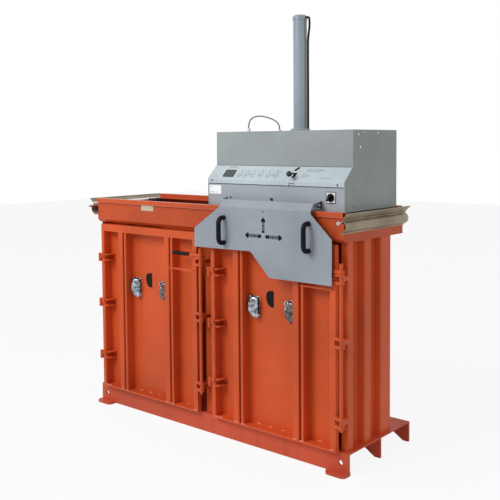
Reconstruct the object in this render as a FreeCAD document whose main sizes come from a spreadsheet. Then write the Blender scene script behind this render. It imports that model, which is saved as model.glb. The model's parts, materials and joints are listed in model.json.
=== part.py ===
import FreeCAD, Part
import math
import os

import Sketcher

# Two-chamber recycling baler. Millimetres. X runs to the right along the chambers, Y to the
# back and Z up. Heights count from the floor, X from the middle of the machine. Depths are
# written from the front face of the base and shifted once, so that the origin lies at the
# middle of the footprint.

doc = FreeCAD.newDocument("Baler")
sheet = doc.addObject("Spreadsheet::Sheet", "Sizes")


# ---------------------------------------------------------------- sizes that carry their formula
class Size:
    """A number together with the expression that gives it."""

    def __init__(self, text, value):
        self.text = text
        self.value = float(value)

    def __add__(self, other):
        return joined(self, "+", other, self.value + num(other))

    def __radd__(self, other):
        return joined(other, "+", self, num(other) + self.value)

    def __sub__(self, other):
        return joined(self, "-", other, self.value - num(other))

    def __rsub__(self, other):
        return joined(other, "-", self, num(other) - self.value)

    def __mul__(self, other):
        return joined(self, "*", other, self.value * num(other))

    def __rmul__(self, other):
        return joined(other, "*", self, num(other) * self.value)

    def __truediv__(self, other):
        return joined(self, "/", other, self.value / num(other))

    def __neg__(self):
        return joined(-1, "*", self, -self.value)


def num(q):
    return q.value if isinstance(q, Size) else float(q)


def words(q):
    return q.text if isinstance(q, Size) else "(%r)" % float(q)


def joined(a, sign, b, value):
    return Size("(%s %s %s)" % (words(a), sign, words(b)), value)


rows = [0]


def size(name, value):
    """One cell of the sheet, with its alias."""
    rows[0] += 1
    cell = "A%d" % rows[0]
    sheet.set(cell, "%g" % value)
    sheet.setAlias(cell, name)
    return Size("Sizes." + name, value)


# base
pitch = size("pitch", 800)
base_over = size("base_over", 8)
base_depth = size("base_depth", 520)
base_top = size("base_top", 96)
plate_thick = size("plate_thick", 6)
beam_thick = size("beam_thick", 10)
beam_lift = size("beam_lift", 4)
arch_height = size("arch_height", 50)
arch_foot = size("arch_foot", 30)
arch_run = size("arch_run", 80)
foot_width = size("foot_width", 104)
foot_out = size("foot_out", 1)
foot_front = size("foot_front", 40)
foot_back = size("foot_back", 20)
foot_thick = size("foot_thick", 12)
foot_round = size("foot_round", 22)
bolt_hole_radius = size("bolt_hole_radius", 11)
bolt_hole_inset = size("bolt_hole_inset", 42)
bolt_hole_height = size("bolt_hole_height", 50)

# chambers
side_inset = size("side_inset", 8)
body_half = pitch - side_inset
body_top = size("body_top", 993)
chamber_back = size("chamber_back", 408)
wall_thick = size("wall_thick", 4)
rib_depth = size("rib_depth", 33)
rib_slope = size("rib_slope", 10)
rib_bend = size("rib_bend", 6)
rib_1 = size("rib_1", 22)
rib_2 = size("rib_2", 152)
rib_3 = size("rib_3", 286)
rib_1_width = size("rib_1_width", 48)
rib_2_width = size("rib_2_width", 50)
rib_3_width = size("rib_3_width", 93)
post_left = size("post_left", 33)
post_width = size("post_width", 36)
post_front = size("post_front", 20)
post_depth = size("post_depth", 40)
corner_thick = size("corner_thick", 6)
corner_front = size("corner_front", 5)
corner_back = size("corner_back", 78)

# doors, measured from the hinge pin
pin_inset = size("pin_inset", 38)
door_pitch = pitch + base_over
door_out = size("door_out", 28)
door_edge = size("door_edge", 10)
door_gap = size("door_gap", 88)
door_width = pitch - door_gap
door_depth = size("door_depth", 25)
rail_depth = size("rail_depth", 57)
door_low = size("door_low", 99)
door_high = size("door_high", 983)
low_rail = size("low_rail", 8)
high_rail = size("high_rail", 36)
hinge_tube = size("hinge_tube", 18)
latch_tube = size("latch_tube", 25)
panel_thick = size("panel_thick", 3)
recess_depth = size("recess_depth", 50)
fold_bend = size("fold_bend", 4)
slot_width = size("slot_width", 10)
slot_1 = size("slot_1", 181)
slot_2 = size("slot_2", 529)
strip_width = size("strip_width", 31)
lip_width = size("lip_width", 13)
fold_back = size("fold_back", 45)
rest_bar_thick = size("rest_bar_thick", 7)

# hinges
pin_y = size("pin_y", -3)
pin_radius = size("pin_radius", 4.5)
knuckle_radius = size("knuckle_radius", 8.5)
running_gap = size("running_gap", 0.05)
end_gap = size("end_gap", 0.3)
knuckle_half = size("knuckle_half", 22)
hinge_1 = size("hinge_1", 803)
hinge_2 = size("hinge_2", 557)
hinge_3 = size("hinge_3", 271)
strap_thick = size("strap_thick", 5)
strap_reach = size("strap_reach", 64)
strap_front = size("strap_front", 24)
strap_drop = size("strap_drop", 15)

# latches
rod_beyond = size("rod_beyond", 36)
rod_x = door_edge + door_width + rod_beyond
rod_y = size("rod_y", -10)
rod_radius = size("rod_radius", 8)
rod_low = size("rod_low", 202)
latch_1 = size("latch_1", 846)
latch_2 = size("latch_2", 576)
latch_3 = size("latch_3", 236)
rest_drop = size("rest_drop", 50)
rest_bar_height = latch_1 - rest_drop
latch_half = size("latch_half", 22)
ear_thick = size("ear_thick", 10)
ear_radius = size("ear_radius", 13.5)
cam_radius = size("cam_radius", 11)
cam_throw = size("cam_throw", 6)
lever_above = size("lever_above", 31)
lever_height = latch_1 + lever_above
lever_thick = size("lever_thick", 14)
rod_over = size("rod_over", 34)
rod_high = lever_height + rod_over
arm_length = size("arm_length", 71)
arm_thick = size("arm_thick", 8)
grip_length = size("grip_length", 113)
grip_radius = size("grip_radius", 9)

# strap ratchets and window on the door
buckle_1 = size("buckle_1", 243)
buckle_2 = size("buckle_2", 458)
buckle_z = size("buckle_z", 663)
buckle_width = size("buckle_width", 66)
buckle_height = size("buckle_height", 96)
buckle_out = size("buckle_out", 30)
buckle_sheet = size("buckle_sheet", 3)
axle_radius = size("axle_radius", 7)
handle_length = size("handle_length", 84)
window_x = size("window_x", 330)
window_z = size("window_z", 711)
window_width = size("window_width", 44)
window_height = size("window_height", 74)
window_thick = size("window_thick", 4)

# hopper
hopper_half = size("hopper_half", 797)
hopper_front = size("hopper_front", -27)
hopper_back = size("hopper_back", 467)
hopper_top = size("hopper_top", 1121)
hopper_sheet = size("hopper_sheet", 3)
rim_tube = size("rim_tube", 27)
rim_height = size("rim_height", 22)
rim_proud = size("rim_proud", 9)
hopper_chamfer = size("hopper_chamfer", 14)
rim_wall = size("rim_wall", 2.5)
rail_width = size("rail_width", 30)
rail_thick = size("rail_thick", 4)
rail_top = size("rail_top", 1100)
apron_sheet = size("apron_sheet", 2)
apron_front = size("apron_front", -42)
apron_back = size("apron_back", 475)
apron_low = size("apron_low", 1032)
apron_foot = size("apron_foot", 5)
belly_rise = size("belly_rise", 29)
neck_rise = size("neck_rise", 58)
tip_rise = size("tip_rise", 84)
belly_bend = size("belly_bend", 24)
belly_out = size("belly_out", 44)
neck_out = size("neck_out", 7)
tip_out = size("tip_out", 29)
apron_belly = hopper_half + belly_out
apron_neck = hopper_half + neck_out
apron_tip = hopper_half + tip_out
hem_radius = size("hem_radius", 4)
apron_rod_radius = size("apron_rod_radius", 4)
rod_rise = size("rod_rise", 49)
rod_front = size("rod_front", -75)
stop_width = size("stop_width", 54)
stop_middle = size("stop_middle", 32)
stop_low = size("stop_low", 30)
stop_bolt = size("stop_bolt", 11)
bare_plate_x = size("bare_plate_x", -402)
bare_plate_width = size("bare_plate_width", 90)
bare_plate_height = size("bare_plate_height", 29)
small_sheet = size("small_sheet", 2)

# press head
head_clear = size("head_clear", 19)
head_width = pitch - head_clear
head_low = size("head_low", 1118)
head_top = size("head_top", 1467)
head_front = size("head_front", 11)
head_upper = size("head_upper", 75)
head_back = size("head_back", 437)
slope_low = size("slope_low", 1245)
slope_high = size("slope_high", 1308)
lip_low = size("lip_low", 1223)
head_sheet = size("head_sheet", 3)
lower_face = size("lower_face", 13)
shelf_height = size("shelf_height", 1200)
shelf_thick = size("shelf_thick", 10)
mast_x = size("mast_x", 390)
mast_y = size("mast_y", 229)
mast_radius = size("mast_radius", 32.5)
mast_bore = size("mast_bore", 26)
mast_high = size("mast_high", 2002)
mast_low = size("mast_low", 1180)
cap_radius = size("cap_radius", 35)
cap_height = size("cap_height", 22)
cap_chamfer = size("cap_chamfer", 7)
collar_radius = size("collar_radius", 46)
collar_height = size("collar_height", 12)
roller_radius = size("roller_radius", 20)
roller_width = size("roller_width", 12)
roller_inset = size("roller_inset", 60)
axle_pin = size("axle_pin", 6)

# ram
rod_end = size("rod_end", 1960)
plate_bottom = size("plate_bottom", 1128)
press_thick = size("press_thick", 30)
press_half_x = size("press_half_x", 335)
press_half_y = size("press_half_y", 145)

# guard
guard_face = size("guard_face", 56)
guard_sheet = size("guard_sheet", 3)
guard_axis_y = size("guard_axis_y", -14)
guard_pin = size("guard_pin", 5)
guard_fold = hopper_top + 0
fold_drop = size("fold_drop", 25)
guard_axis_z = guard_fold + fold_drop
guard_left = size("guard_left", -31)
guard_right = size("guard_right", 760)
shoulder_drop = size("shoulder_drop", 111)
lobe_high = size("lobe_high", 89)
lobe_drop = size("lobe_drop", 105)
lobe_width = size("lobe_width", 351)
lobe_slope = size("lobe_slope", 106)
shoulder_run = size("shoulder_run", 105)
guard_shoulder = guard_fold - shoulder_drop
guard_lobe_low = guard_shoulder - lobe_high
guard_low = guard_lobe_low - lobe_drop
fold_left = size("fold_left", 134)
fold_right = size("fold_right", 652)
lug_left = size("lug_left", 112)
lug_inset = size("lug_inset", 121)
lug_right = head_width - lug_inset
lug_thick = size("lug_thick", 8)
handle_left = size("handle_left", 161)
handle_right = size("handle_right", 644)
handle_reach = size("handle_reach", 50)
handle_bar = size("handle_bar", 18)
handle_low = size("handle_low", 943)
handle_high = size("handle_high", 1081)

# small parts of the head
switch_inset = size("switch_inset", 70)
switch_x = head_width - switch_inset
switch_z = size("switch_z", 1179)
switch_plate_side = size("switch_plate_side", 48)
knob_radius = size("knob_radius", 15)
knob_out = size("knob_out", 20)
lever_x = size("lever_x", 497)
lever_base_z = size("lever_base_z", 1270)
lever_ball = size("lever_ball", 13)
lever_stem = size("lever_stem", 3.5)
lever_out = size("lever_out", 36)
cheek_thick = size("cheek_thick", 3)
socket_half = size("socket_half", 10)
boss_half = size("boss_half", 5)
pivot_pin = size("pivot_pin", 2.5)
socket_height = size("socket_height", 4)
pivot_radius = size("pivot_radius", 5)
notch_left = size("notch_left", 487)
notch_width = size("notch_width", 30)
notch_height = size("notch_height", 11)
bolt_inset = size("bolt_inset", 39)
pipe_drop = size("pipe_drop", 110)
cable_radius = size("cable_radius", 3.2)
gland_radius = size("gland_radius", 9)
gland_x = size("gland_x", 97)
gland_y = size("gland_y", 200)
exit_x = size("exit_x", 290)
gland_height = size("gland_height", 18)

doc.recompute()

SHIFT = (guard_face + handle_reach - base_depth) / 2


# ---------------------------------------------------------------- how the pieces are made
def body_named(label, x=0, y=0):
    body = doc.addObject("PartDesign::Body", label)
    body.Label = label
    body.AllowCompound = True
    body.setExpression("Placement.Base.y", words(SHIFT + y))
    if isinstance(x, Size):
        body.setExpression("Placement.Base.x", words(x))
    return body


def sketch_on(body, role, level):
    plane = [f for f in body.Origin.OriginFeatures if f.Role == role][0]
    sketch = body.newObject("Sketcher::SketchObject", body.Name + "_sketch")
    sketch.AttachmentSupport = [(plane, "")]
    sketch.MapMode = "FlatFace"
    sketch.setExpression("AttachmentOffset.Base.z", words(level))
    return sketch


def fix(sketch, kind, edge, point, q):
    """Dimension from the sketch origin, bound to its formula."""
    n = sketch.addConstraint(Sketcher.Constraint(kind, -1, 1, edge, point, num(q)))
    if isinstance(q, Size):
        sketch.setExpression("Constraints[%d]" % n, q.text)


def polygon(points):
    """Closed outline through (u, v) points."""

    def draw(sketch):
        first = sketch.GeometryCount
        n = len(points)
        spots = [FreeCAD.Vector(num(u), num(v), 0) for u, v in points]
        for i in range(n):
            sketch.addGeometry(Part.LineSegment(spots[i], spots[(i + 1) % n]))
        for i in range(n):
            after = first + (i + 1) % n
            sketch.addConstraint(Sketcher.Constraint("Coincident", first + i, 2, after, 1))
        for i in range(n):
            fix(sketch, "DistanceX", first + i, 1, points[i][0])
            fix(sketch, "DistanceY", first + i, 1, points[i][1])

    return draw


def box(u0, u1, v0, v1):
    return polygon([(u0, v0), (u1, v0), (u1, v1), (u0, v1)])


def circle(u, v, radius):
    def draw(sketch):
        shape = Part.Circle(FreeCAD.Vector(num(u), num(v), 0), FreeCAD.Vector(0, 0, 1), num(radius))
        edge = sketch.addGeometry(shape)
        fix(sketch, "DistanceX", edge, 3, u)
        fix(sketch, "DistanceY", edge, 3, v)
        n = sketch.addConstraint(Sketcher.Constraint("Radius", edge, num(radius)))
        if isinstance(radius, Size):
            sketch.setExpression("Constraints[%d]" % n, radius.text)

    return draw


def rounded_path(path):
    """Lines and arcs of a path whose inner points carry a bend radius."""
    spots = [FreeCAD.Vector(num(p[0]), num(p[1]), 0) for p in path]
    parts = []
    start = spots[0]
    for i in range(1, len(path) - 1):
        a = (spots[i] - spots[i - 1]).normalize()
        b = (spots[i + 1] - spots[i]).normalize()
        turn = math.atan2(a.x * b.y - a.y * b.x, a.x * b.x + a.y * b.y)
        radius = num(path[i][2])
        back = radius * math.tan(abs(turn) / 2)
        enter = spots[i] - a * back
        leave = spots[i] + b * back
        side = 1 if turn > 0 else -1
        centre = enter + FreeCAD.Vector(-a.y, a.x, 0) * (radius * side)
        parts.append(("line", start, enter))
        parts.append(("arc", centre, radius, side, enter, leave))
        start = leave
    parts.append(("line", start, spots[-1]))
    return parts


def arc_edge(centre, radius, side, enter, leave):
    a0 = math.atan2(enter.y - centre.y, enter.x - centre.x)
    a1 = math.atan2(leave.y - centre.y, leave.x - centre.x)
    if side < 0:
        a0, a1 = a1, a0
    if a1 < a0:
        a1 += 2 * math.pi
    return Part.ArcOfCircle(Part.Circle(centre, FreeCAD.Vector(0, 0, 1), radius), a0, a1)


def folded(path, thick):
    """Cross-section of bent sheet: the middle line has (u, v) ends and (u, v, bend) corners."""

    def draw(sketch):
        half = num(thick) / 2
        ends = []
        for hand in (1, -1):
            run = []
            for part in rounded_path(path):
                if part[0] == "line":
                    along = (part[2] - part[1]).normalize()
                    off = FreeCAD.Vector(-along.y, along.x, 0) * (half * hand)
                    run.append((part[1] + off, part[2] + off))
                    sketch.addGeometry(Part.LineSegment(part[1] + off, part[2] + off))
                else:
                    centre, radius, side, enter, leave = part[1:]
                    grown = radius - half * hand * side
                    enter = centre + (enter - centre).normalize() * grown
                    leave = centre + (leave - centre).normalize() * grown
                    sketch.addGeometry(arc_edge(centre, grown, side, enter, leave))
            ends.append((run[0][0], run[-1][1]))
        for k in (0, 1):
            sketch.addGeometry(Part.LineSegment(ends[0][k], ends[1][k]))

    return draw


def rounded(points):
    """Closed outline whose points carry a corner radius."""

    def draw(sketch):
        n = len(points)
        middle = ((points[-1][0] + points[0][0]) / 2, (points[-1][1] + points[0][1]) / 2)
        parts = rounded_path([middle] + list(points) + [middle])
        for part in parts:
            if part[0] == "line":
                sketch.addGeometry(Part.LineSegment(part[1], part[2]))
            else:
                sketch.addGeometry(arc_edge(*part[1:]))

    return draw


def extrude(body, role, start, end, outlines, cut=False):
    """Pad (or pocket) from start to end along the axis square to the plane."""
    level = -end if role == "XZ_Plane" else start
    sketch = sketch_on(body, role, level)
    for draw in outlines:
        draw(sketch)
    if cut:
        before = cut_volume(body)
        feature = body.newObject("PartDesign::Pocket", body.Name + "_cut")
        feature.Profile = sketch
        feature.Reversed = True
    else:
        feature = body.newObject("PartDesign::Pad", body.Name + "_pad")
        feature.Profile = sketch
    feature.setExpression("Length", words(end - start))
    sketch.Visibility = False
    if cut:
        doc.recompute()
        if not feature.Shape.Volume < before - 1:
            raise ValueError("a pocket of %s cuts nothing" % body.Label)
    return body


def cut_volume(body):
    doc.recompute()
    return body.Shape.Volume


def turned(label, x, y, outline):
    """Solid of revolution about a vertical axis through (x, y)."""
    body = doc.addObject("PartDesign::Body", label)
    body.Label = label
    body.setExpression("Placement.Base.x", words(x))
    body.setExpression("Placement.Base.y", words(SHIFT + y))
    sketch = sketch_on(body, "XZ_Plane", 0)
    polygon(outline)(sketch)
    feature = body.newObject("PartDesign::Revolution", label + "_turn")
    feature.Profile = sketch
    feature.ReferenceAxis = (sketch, ["V_Axis"])
    feature.Angle = 360
    return body


pieces = []


def keep(*objects):
    pieces.extend(objects)


XY, XZ, YZ = "XY_Plane", "XZ_Plane", "YZ_Plane"
half = pitch + base_over

# ---------------------------------------------------------------- base
base_plate = body_named("base_plate")
extrude(base_plate, XY, base_top - plate_thick, base_top, [box(-half, half, 0, base_depth)])

under = base_top - plate_thick
beam = body_named("front_beam")
foot_in = half + foot_out - foot_width
extrude(
    beam,
    XZ,
    Size("0", 0),
    beam_thick,
    [
        polygon(
            [
                (-half, foot_thick),
                (-foot_in, foot_thick),
                (-foot_in + beam_lift / 2, beam_lift),
                (foot_in - beam_lift / 2, beam_lift),
                (foot_in, foot_thick),
                (half, foot_thick),
                (half, under),
                (-half, under),
            ]
        ),
        circle(bolt_hole_inset - half, bolt_hole_height, bolt_hole_radius),
        circle(half - bolt_hole_inset, bolt_hole_height, bolt_hole_radius),
    ],
)
foot_outline = []
for side in (-1, 1):
    inner = side * foot_in
    outer = side * (half + foot_out)
    foot_outline.append(
        rounded(
            [
                (inner, -foot_front, foot_round),
                (outer, -foot_front, foot_round),
                (outer, foot_back, foot_round / 2),
                (inner, foot_back, foot_round / 2),
            ]
        )
    )
extrude(beam, XY, Size("0", 0), foot_thick, foot_outline)

cross = body_named("base_beams")
arch_end = half - arch_foot
for front in (base_depth / 2 - beam_thick / 2, base_depth - beam_thick):
    extrude(
        cross,
        XZ,
        front,
        front + beam_thick,
        [
            rounded(
                [
                    (-half, 0, 2),
                    (-arch_end, 0, 6),
                    (-arch_end + arch_run, arch_height, 40),
                    (arch_end - arch_run, arch_height, 40),
                    (arch_end, 0, 6),
                    (half, 0, 2),
                    (half, under, 1),
                    (-half, under, 1),
                ]
            )
        ],
    )
keep(base_plate, beam, cross)

# ---------------------------------------------------------------- chamber walls
rib_out = body_half - wall_thick / 2
rib_in = rib_out - rib_depth


def wall_path(side, ribs, start):
    path = []
    for a, width in ribs:
        path += [(side * rib_in, a - rib_slope, rib_bend), (side * rib_out, a, rib_bend)]
        path += [(side * rib_out, a + width, rib_bend), (side * rib_in, a + width + rib_slope, rib_bend)]
    path = [(side * rib_in, start)] + path
    return path + [(side * rib_in, chamber_back)]


later_ribs = [(rib_2, rib_2_width), (rib_3, rib_3_width - rib_slope)]
left_wall = body_named("left_wall")
extrude(left_wall, XY, base_top, body_top, [folded(wall_path(-1, later_ribs, corner_back), wall_thick)])
right_wall = body_named("right_wall")
right_start = post_front + post_depth
extrude(right_wall, XY, base_top, body_top, [folded(wall_path(1, later_ribs, right_start), wall_thick)])

back_wall = body_named("back_wall")
inner_x = rib_in - wall_thick / 2
extrude(back_wall, XY, base_top, body_top, [box(-inner_x, inner_x, chamber_back - wall_thick, chamber_back)])

centre_wall = body_named("centre_wall")
post_right = post_width - post_left
extrude(
    centre_wall,
    XY,
    base_top,
    body_top,
    [box(-post_left, post_right, post_front, post_front + post_depth)],
)
centre_x = post_right - post_width / 2
extrude(
    centre_wall,
    XY,
    base_top,
    body_top,
    [
        box(
            centre_x - wall_thick,
            centre_x + wall_thick,
            post_front + post_depth,
            chamber_back - wall_thick,
        )
    ],
)

side_posts = body_named("side_posts")
corner_x = body_half - corner_thick / 2
extrude(
    side_posts,
    XY,
    base_top,
    body_top,
    [
        folded(
            [
                (-corner_x, corner_front),
                (-corner_x, corner_back - corner_thick / 2, corner_thick),
                (-inner_x, corner_back - corner_thick / 2),
            ],
            corner_thick,
        ),
        rounded(
            [
                (body_half - post_width, post_front, 4),
                (body_half, post_front, 4),
                (body_half, post_front + post_depth, 4),
                (body_half - post_width, post_front + post_depth, 4),
            ]
        ),
    ],
)
keep(left_wall, right_wall, back_wall, centre_wall, side_posts)

# ---------------------------------------------------------------- hopper
hopper = body_named("hopper")
fold_z = body_top + hopper_sheet / 2
wall_y = hopper_front + rim_proud + hopper_sheet / 2
rear_y = hopper_back - hopper_sheet / 2
end_in = hopper_half - hopper_sheet
tube_low = hopper_top - rim_height
end_plate_top = apron_low + neck_rise + 3
extrude(
    hopper,
    YZ,
    -end_in,
    end_in,
    [
        folded(
            [
                (post_front + post_depth, fold_z),
                (wall_y + hopper_chamfer, fold_z, fold_bend),
                (wall_y, fold_z + hopper_chamfer, fold_bend),
                (wall_y, tube_low),
            ],
            hopper_sheet,
        ),
        folded([(chamber_back, fold_z), (rear_y, fold_z, fold_bend), (rear_y, tube_low)], hopper_sheet),
    ],
)
for side in (-1, 1):
    low_x = side * hopper_half if side < 0 else end_in
    high_x = -end_in if side < 0 else hopper_half
    extrude(
        hopper,
        YZ,
        low_x,
        high_x,
        [
            polygon(
                [
                    (wall_y + hopper_chamfer, body_top),
                    (hopper_back, body_top),
                    (hopper_back, end_plate_top),
                    (wall_y - hopper_sheet / 2, end_plate_top),
                    (wall_y - hopper_sheet / 2, body_top + hopper_chamfer),
                ]
            )
        ],
    )
    shelf_a = -end_in if side < 0 else inner_x
    shelf_b = -inner_x if side < 0 else end_in
    extrude(
        hopper,
        XY,
        body_top,
        body_top + hopper_sheet,
        [box(shelf_a, shelf_b, post_front + post_depth - 1, chamber_back + 1)],
    )

rims = body_named("hopper_rims")
rim_outlines = []
for y in (hopper_front, hopper_back - rim_tube):
    rim_outlines.append(box(y, y + rim_tube, tube_low, hopper_top))
    rim_outlines.append(
        box(y + rim_wall, y + rim_tube - rim_wall, tube_low + rim_wall, hopper_top - rim_wall)
    )
extrude(rims, YZ, -end_in, end_in, rim_outlines)

rails = body_named("head_rails")
rim_front_back = hopper_front + rim_tube
rim_rear_front = hopper_back - rim_tube
extrude(
    rails,
    YZ,
    -end_in,
    end_in,
    [
        box(rim_front_back, rim_front_back + rail_width, rail_top - rail_thick, rail_top),
        box(rim_rear_front - rail_width, rim_rear_front, rail_top - rail_thick, rail_top),
    ],
)

end_stop = body_named("end_stop")
extrude(
    end_stop,
    XZ,
    Size("350", 350),
    rim_rear_front - rail_width - end_gap,
    [box(-end_in, -end_in + stop_width, rail_top - stop_low, rail_top - 2)],
)
extrude(end_stop, XZ, Size("340", 340), Size("350", 350), [circle(-end_in + stop_middle, rail_top - stop_low / 2, stop_bolt)])

aprons = body_named("aprons")
apron_outlines = []
hems = []
for side in (-1, 1):
    face = hopper_half + apron_sheet / 2
    apron_outlines.append(
        folded(
            [
                (side * face, apron_low),
                (side * face, apron_low + apron_foot, 2),
                (side * apron_belly, apron_low + belly_rise, belly_bend),
                (side * apron_neck, apron_low + neck_rise, 4),
                (side * apron_tip, apron_low + tip_rise),
            ],
            apron_sheet,
        )
    )
    hems.append(circle(side * (apron_tip + 2), apron_low + tip_rise + 1, hem_radius))
extrude(aprons, XZ, apron_front, apron_back, apron_outlines)
extrude(aprons, XZ, apron_front, apron_back, hems)

apron_rods = body_named("apron_rods")
rod_at = hopper_half + apron_rod_radius + end_gap
rod_z = apron_low + rod_rise
extrude(
    apron_rods,
    XZ,
    rod_front,
    apron_back,
    [circle(-rod_at, rod_z, apron_rod_radius), circle(rod_at, rod_z, apron_rod_radius)],
)
extrude(
    apron_rods,
    XZ,
    rod_front + 6,
    rod_front + 13,
    [circle(-rod_at, rod_z, apron_rod_radius * 2), circle(rod_at, rod_z, apron_rod_radius * 2)],
)

rim_plate = body_named("rim_plate")
extrude(
    rim_plate,
    XZ,
    wall_y - hopper_sheet / 2 - small_sheet,
    wall_y - hopper_sheet / 2,
    [
        box(
            bare_plate_x - bare_plate_width / 2,
            bare_plate_x + bare_plate_width / 2,
            tube_low - bare_plate_height,
            tube_low,
        )
    ],
)
keep(hopper, rims, rails, end_stop, aprons, apron_rods, rim_plate)

# ---------------------------------------------------------------- hinge eyes on the posts
eyes = body_named("hinge_eyes")
hinge_heights = (hinge_1, hinge_2, hinge_3)
left_pin = pin_inset - door_pitch
pins = (("left", left_pin), ("right", pin_inset + 0))
pin_line = pin_y - door_out
for z in hinge_heights:
    low = z - knuckle_half
    high = z - end_gap
    extrude(eyes, XY, low, high, [circle(left_pin, pin_line, knuckle_radius), circle(pin_inset, pin_line, knuckle_radius)])
    extrude(
        eyes,
        XY,
        low,
        high,
        [
            polygon(
                [
                    (left_pin - strap_thick, pin_line),
                    (left_pin + strap_thick, pin_line),
                    (-body_half + corner_thick, corner_front),
                    (-body_half, corner_front),
                ]
            ),
            polygon(
                [
                    (pin_inset - strap_thick, pin_line),
                    (pin_inset + strap_thick, pin_line),
                    (pin_inset + strap_thick, pin_line + door_depth),
                    (post_right, post_front),
                    (post_right - 12, post_front),
                ]
            ),
        ],
    )
    extrude(
        eyes,
        XY,
        low,
        z + knuckle_half - 2,
        [circle(left_pin, pin_line, pin_radius), circle(pin_inset, pin_line, pin_radius)],
    )
keep(eyes)

# ---------------------------------------------------------------- latch keepers on the posts
keepers = body_named("latch_keepers")
latch_heights = (latch_1, latch_2, latch_3)
keeper_front = rod_y - door_out + cam_throw + cam_radius + 1
left_rod = left_pin + rod_x
right_rod = pin_inset + rod_x
for z in latch_heights:
    extrude(
        keepers,
        XZ,
        keeper_front,
        post_front,
        [
            box(left_rod - ear_radius, left_rod + 8, z - 9, z + 9),
            box(right_rod - ear_radius - 4, right_rod + 6, z - 9, z + 9),
        ],
    )
keep(keepers)


# ---------------------------------------------------------------- doors
def door(side, pin_x):
    """One door with its latch; X runs from the hinge pin."""
    end = door_edge + door_width
    inner_a = door_edge + hinge_tube
    inner_b = end - latch_tube
    frame = body_named(side + "_door_frame", pin_x, -door_out)
    extrude(
        frame,
        XZ,
        Size("0", 0),
        door_depth,
        [
            box(door_edge, end, door_low, door_high),
            box(inner_a, inner_b, door_low + low_rail, door_high - high_rail),
        ],
    )
    for a, b in ((door_low, door_low + low_rail), (door_high - high_rail, door_high)):
        extrude(frame, XZ, door_depth, rail_depth, [box(inner_a, inner_b, a, b)])
    second_lip = slot_2 + slot_width
    extrude(
        frame,
        XZ,
        -strap_thick,
        Size("0", 0),
        [
            box(
                second_lip + 2,
                inner_b + 9,
                rest_bar_height - rest_bar_thick / 2,
                rest_bar_height + rest_bar_thick / 2,
            )
        ],
    )

    # three folded panels, parted by the two strap slots
    mid = panel_thick / 2
    deep = recess_depth + mid
    panels = body_named(side + "_door_panels", pin_x, -door_out)
    a = slot_1 - mid
    b = slot_1 + slot_width + mid
    c = slot_2 - mid
    d = slot_2 + slot_width + mid
    extrude(
        panels,
        XY,
        door_low + low_rail,
        door_high - high_rail,
        [
            folded(
                [
                    (inner_a + mid, mid),
                    (inner_a + mid, deep, fold_bend),
                    (a - strip_width, deep, fold_bend),
                    (a - strip_width, mid, fold_bend),
                    (a, mid, fold_bend),
                    (a, fold_back),
                ],
                panel_thick,
            ),
            folded(
                [
                    (b, fold_back),
                    (b, mid, fold_bend),
                    (b + lip_width, mid, fold_bend),
                    (b + lip_width, deep, fold_bend),
                    (c - strip_width, deep, fold_bend),
                    (c - strip_width, mid, fold_bend),
                    (c, mid, fold_bend),
                    (c, fold_back),
                ],
                panel_thick,
            ),
            folded(
                [
                    (d, fold_back),
                    (d, mid, fold_bend),
                    (d + lip_width, mid, fold_bend),
                    (d + lip_width, deep, fold_bend),
                    (inner_b - mid, deep, fold_bend),
                    (inner_b - mid, mid),
                ],
                panel_thick,
            ),
        ],
    )

    # knuckles with their leaves, and the two flat straps of each hinge across the first recess
    straps = body_named(side + "_hinge_straps", pin_x, -door_out)
    strap_start = inner_a + panel_thick
    for z in hinge_heights:
        low = z
        high = z + knuckle_half
        extrude(
            straps,
            XY,
            low,
            high,
            [polygon([(0, pin_y), (0, 0), (inner_a, 0), (inner_a, -strap_thick), (2, pin_y)])],
        )
        extrude(straps, XY, low, high, [circle(0, pin_y, knuckle_radius)])
        extrude(straps, XY, low - 1, high + 1, [circle(0, pin_y, pin_radius + running_gap)], cut=True)
        for strap_z in (z - strap_drop, z + strap_drop):
            extrude(
                straps,
                XY,
                strap_z - strap_thick / 2,
                strap_z + strap_thick / 2,
                [
                    polygon(
                        [
                            (strap_start, 0),
                            (strap_start + strap_front, 0),
                            (strap_reach, recess_depth - 12),
                            (strap_reach, recess_depth),
                            (strap_start + fold_bend, recess_depth),
                            (strap_start, recess_depth - fold_bend),
                        ]
                    )
                ],
            )

    # latch brackets: two ears at each cam
    brackets = body_named(side + "_latch_brackets", pin_x, -door_out)
    for z in latch_heights:
        for ear in (z - latch_half, z + latch_half - ear_thick):
            extrude(
                brackets,
                XY,
                ear,
                ear + ear_thick,
                [polygon([(end - 10, -6), (end - 10, 0), (end, 0), (rod_x, rod_y + ear_radius), (rod_x, rod_y - ear_radius)])],
            )
            extrude(brackets, XY, ear, ear + ear_thick, [circle(rod_x, rod_y, ear_radius)])
            extrude(
                brackets,
                XY,
                ear - 1,
                ear + ear_thick + 1,
                [circle(rod_x, rod_y, rod_radius + running_gap)],
                cut=True,
            )
        extrude(brackets, XY, z - latch_half, z + latch_half, [box(end - 10, end, -6, 0)])

    # latch rod with its cams and the welded lever arm
    rod = body_named(side + "_latch_rod", pin_x, -door_out)
    extrude(rod, XY, rod_low, rod_high, [circle(rod_x, rod_y, rod_radius)])
    for z in latch_heights:
        reach = latch_half - ear_thick - end_gap
        extrude(rod, XY, z - reach, z + reach, [circle(rod_x, rod_y + cam_throw, cam_radius)])
    arm_end = rod_x - arm_length
    extrude(
        rod,
        XY,
        lever_height - lever_thick / 2,
        lever_height + lever_thick / 2,
        [circle(rod_x, rod_y, ear_radius)],
    )
    extrude(
        rod,
        XY,
        lever_height - lever_thick / 2,
        lever_height + lever_thick / 2,
        [box(arm_end, rod_x, rod_y - arm_thick / 2, rod_y + arm_thick / 2)],
    )
    grip = body_named(side + "_latch_grip", pin_x, -door_out)
    extrude(grip, YZ, arm_end - grip_length, arm_end, [circle(rod_y, lever_height, grip_radius)])

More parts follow.
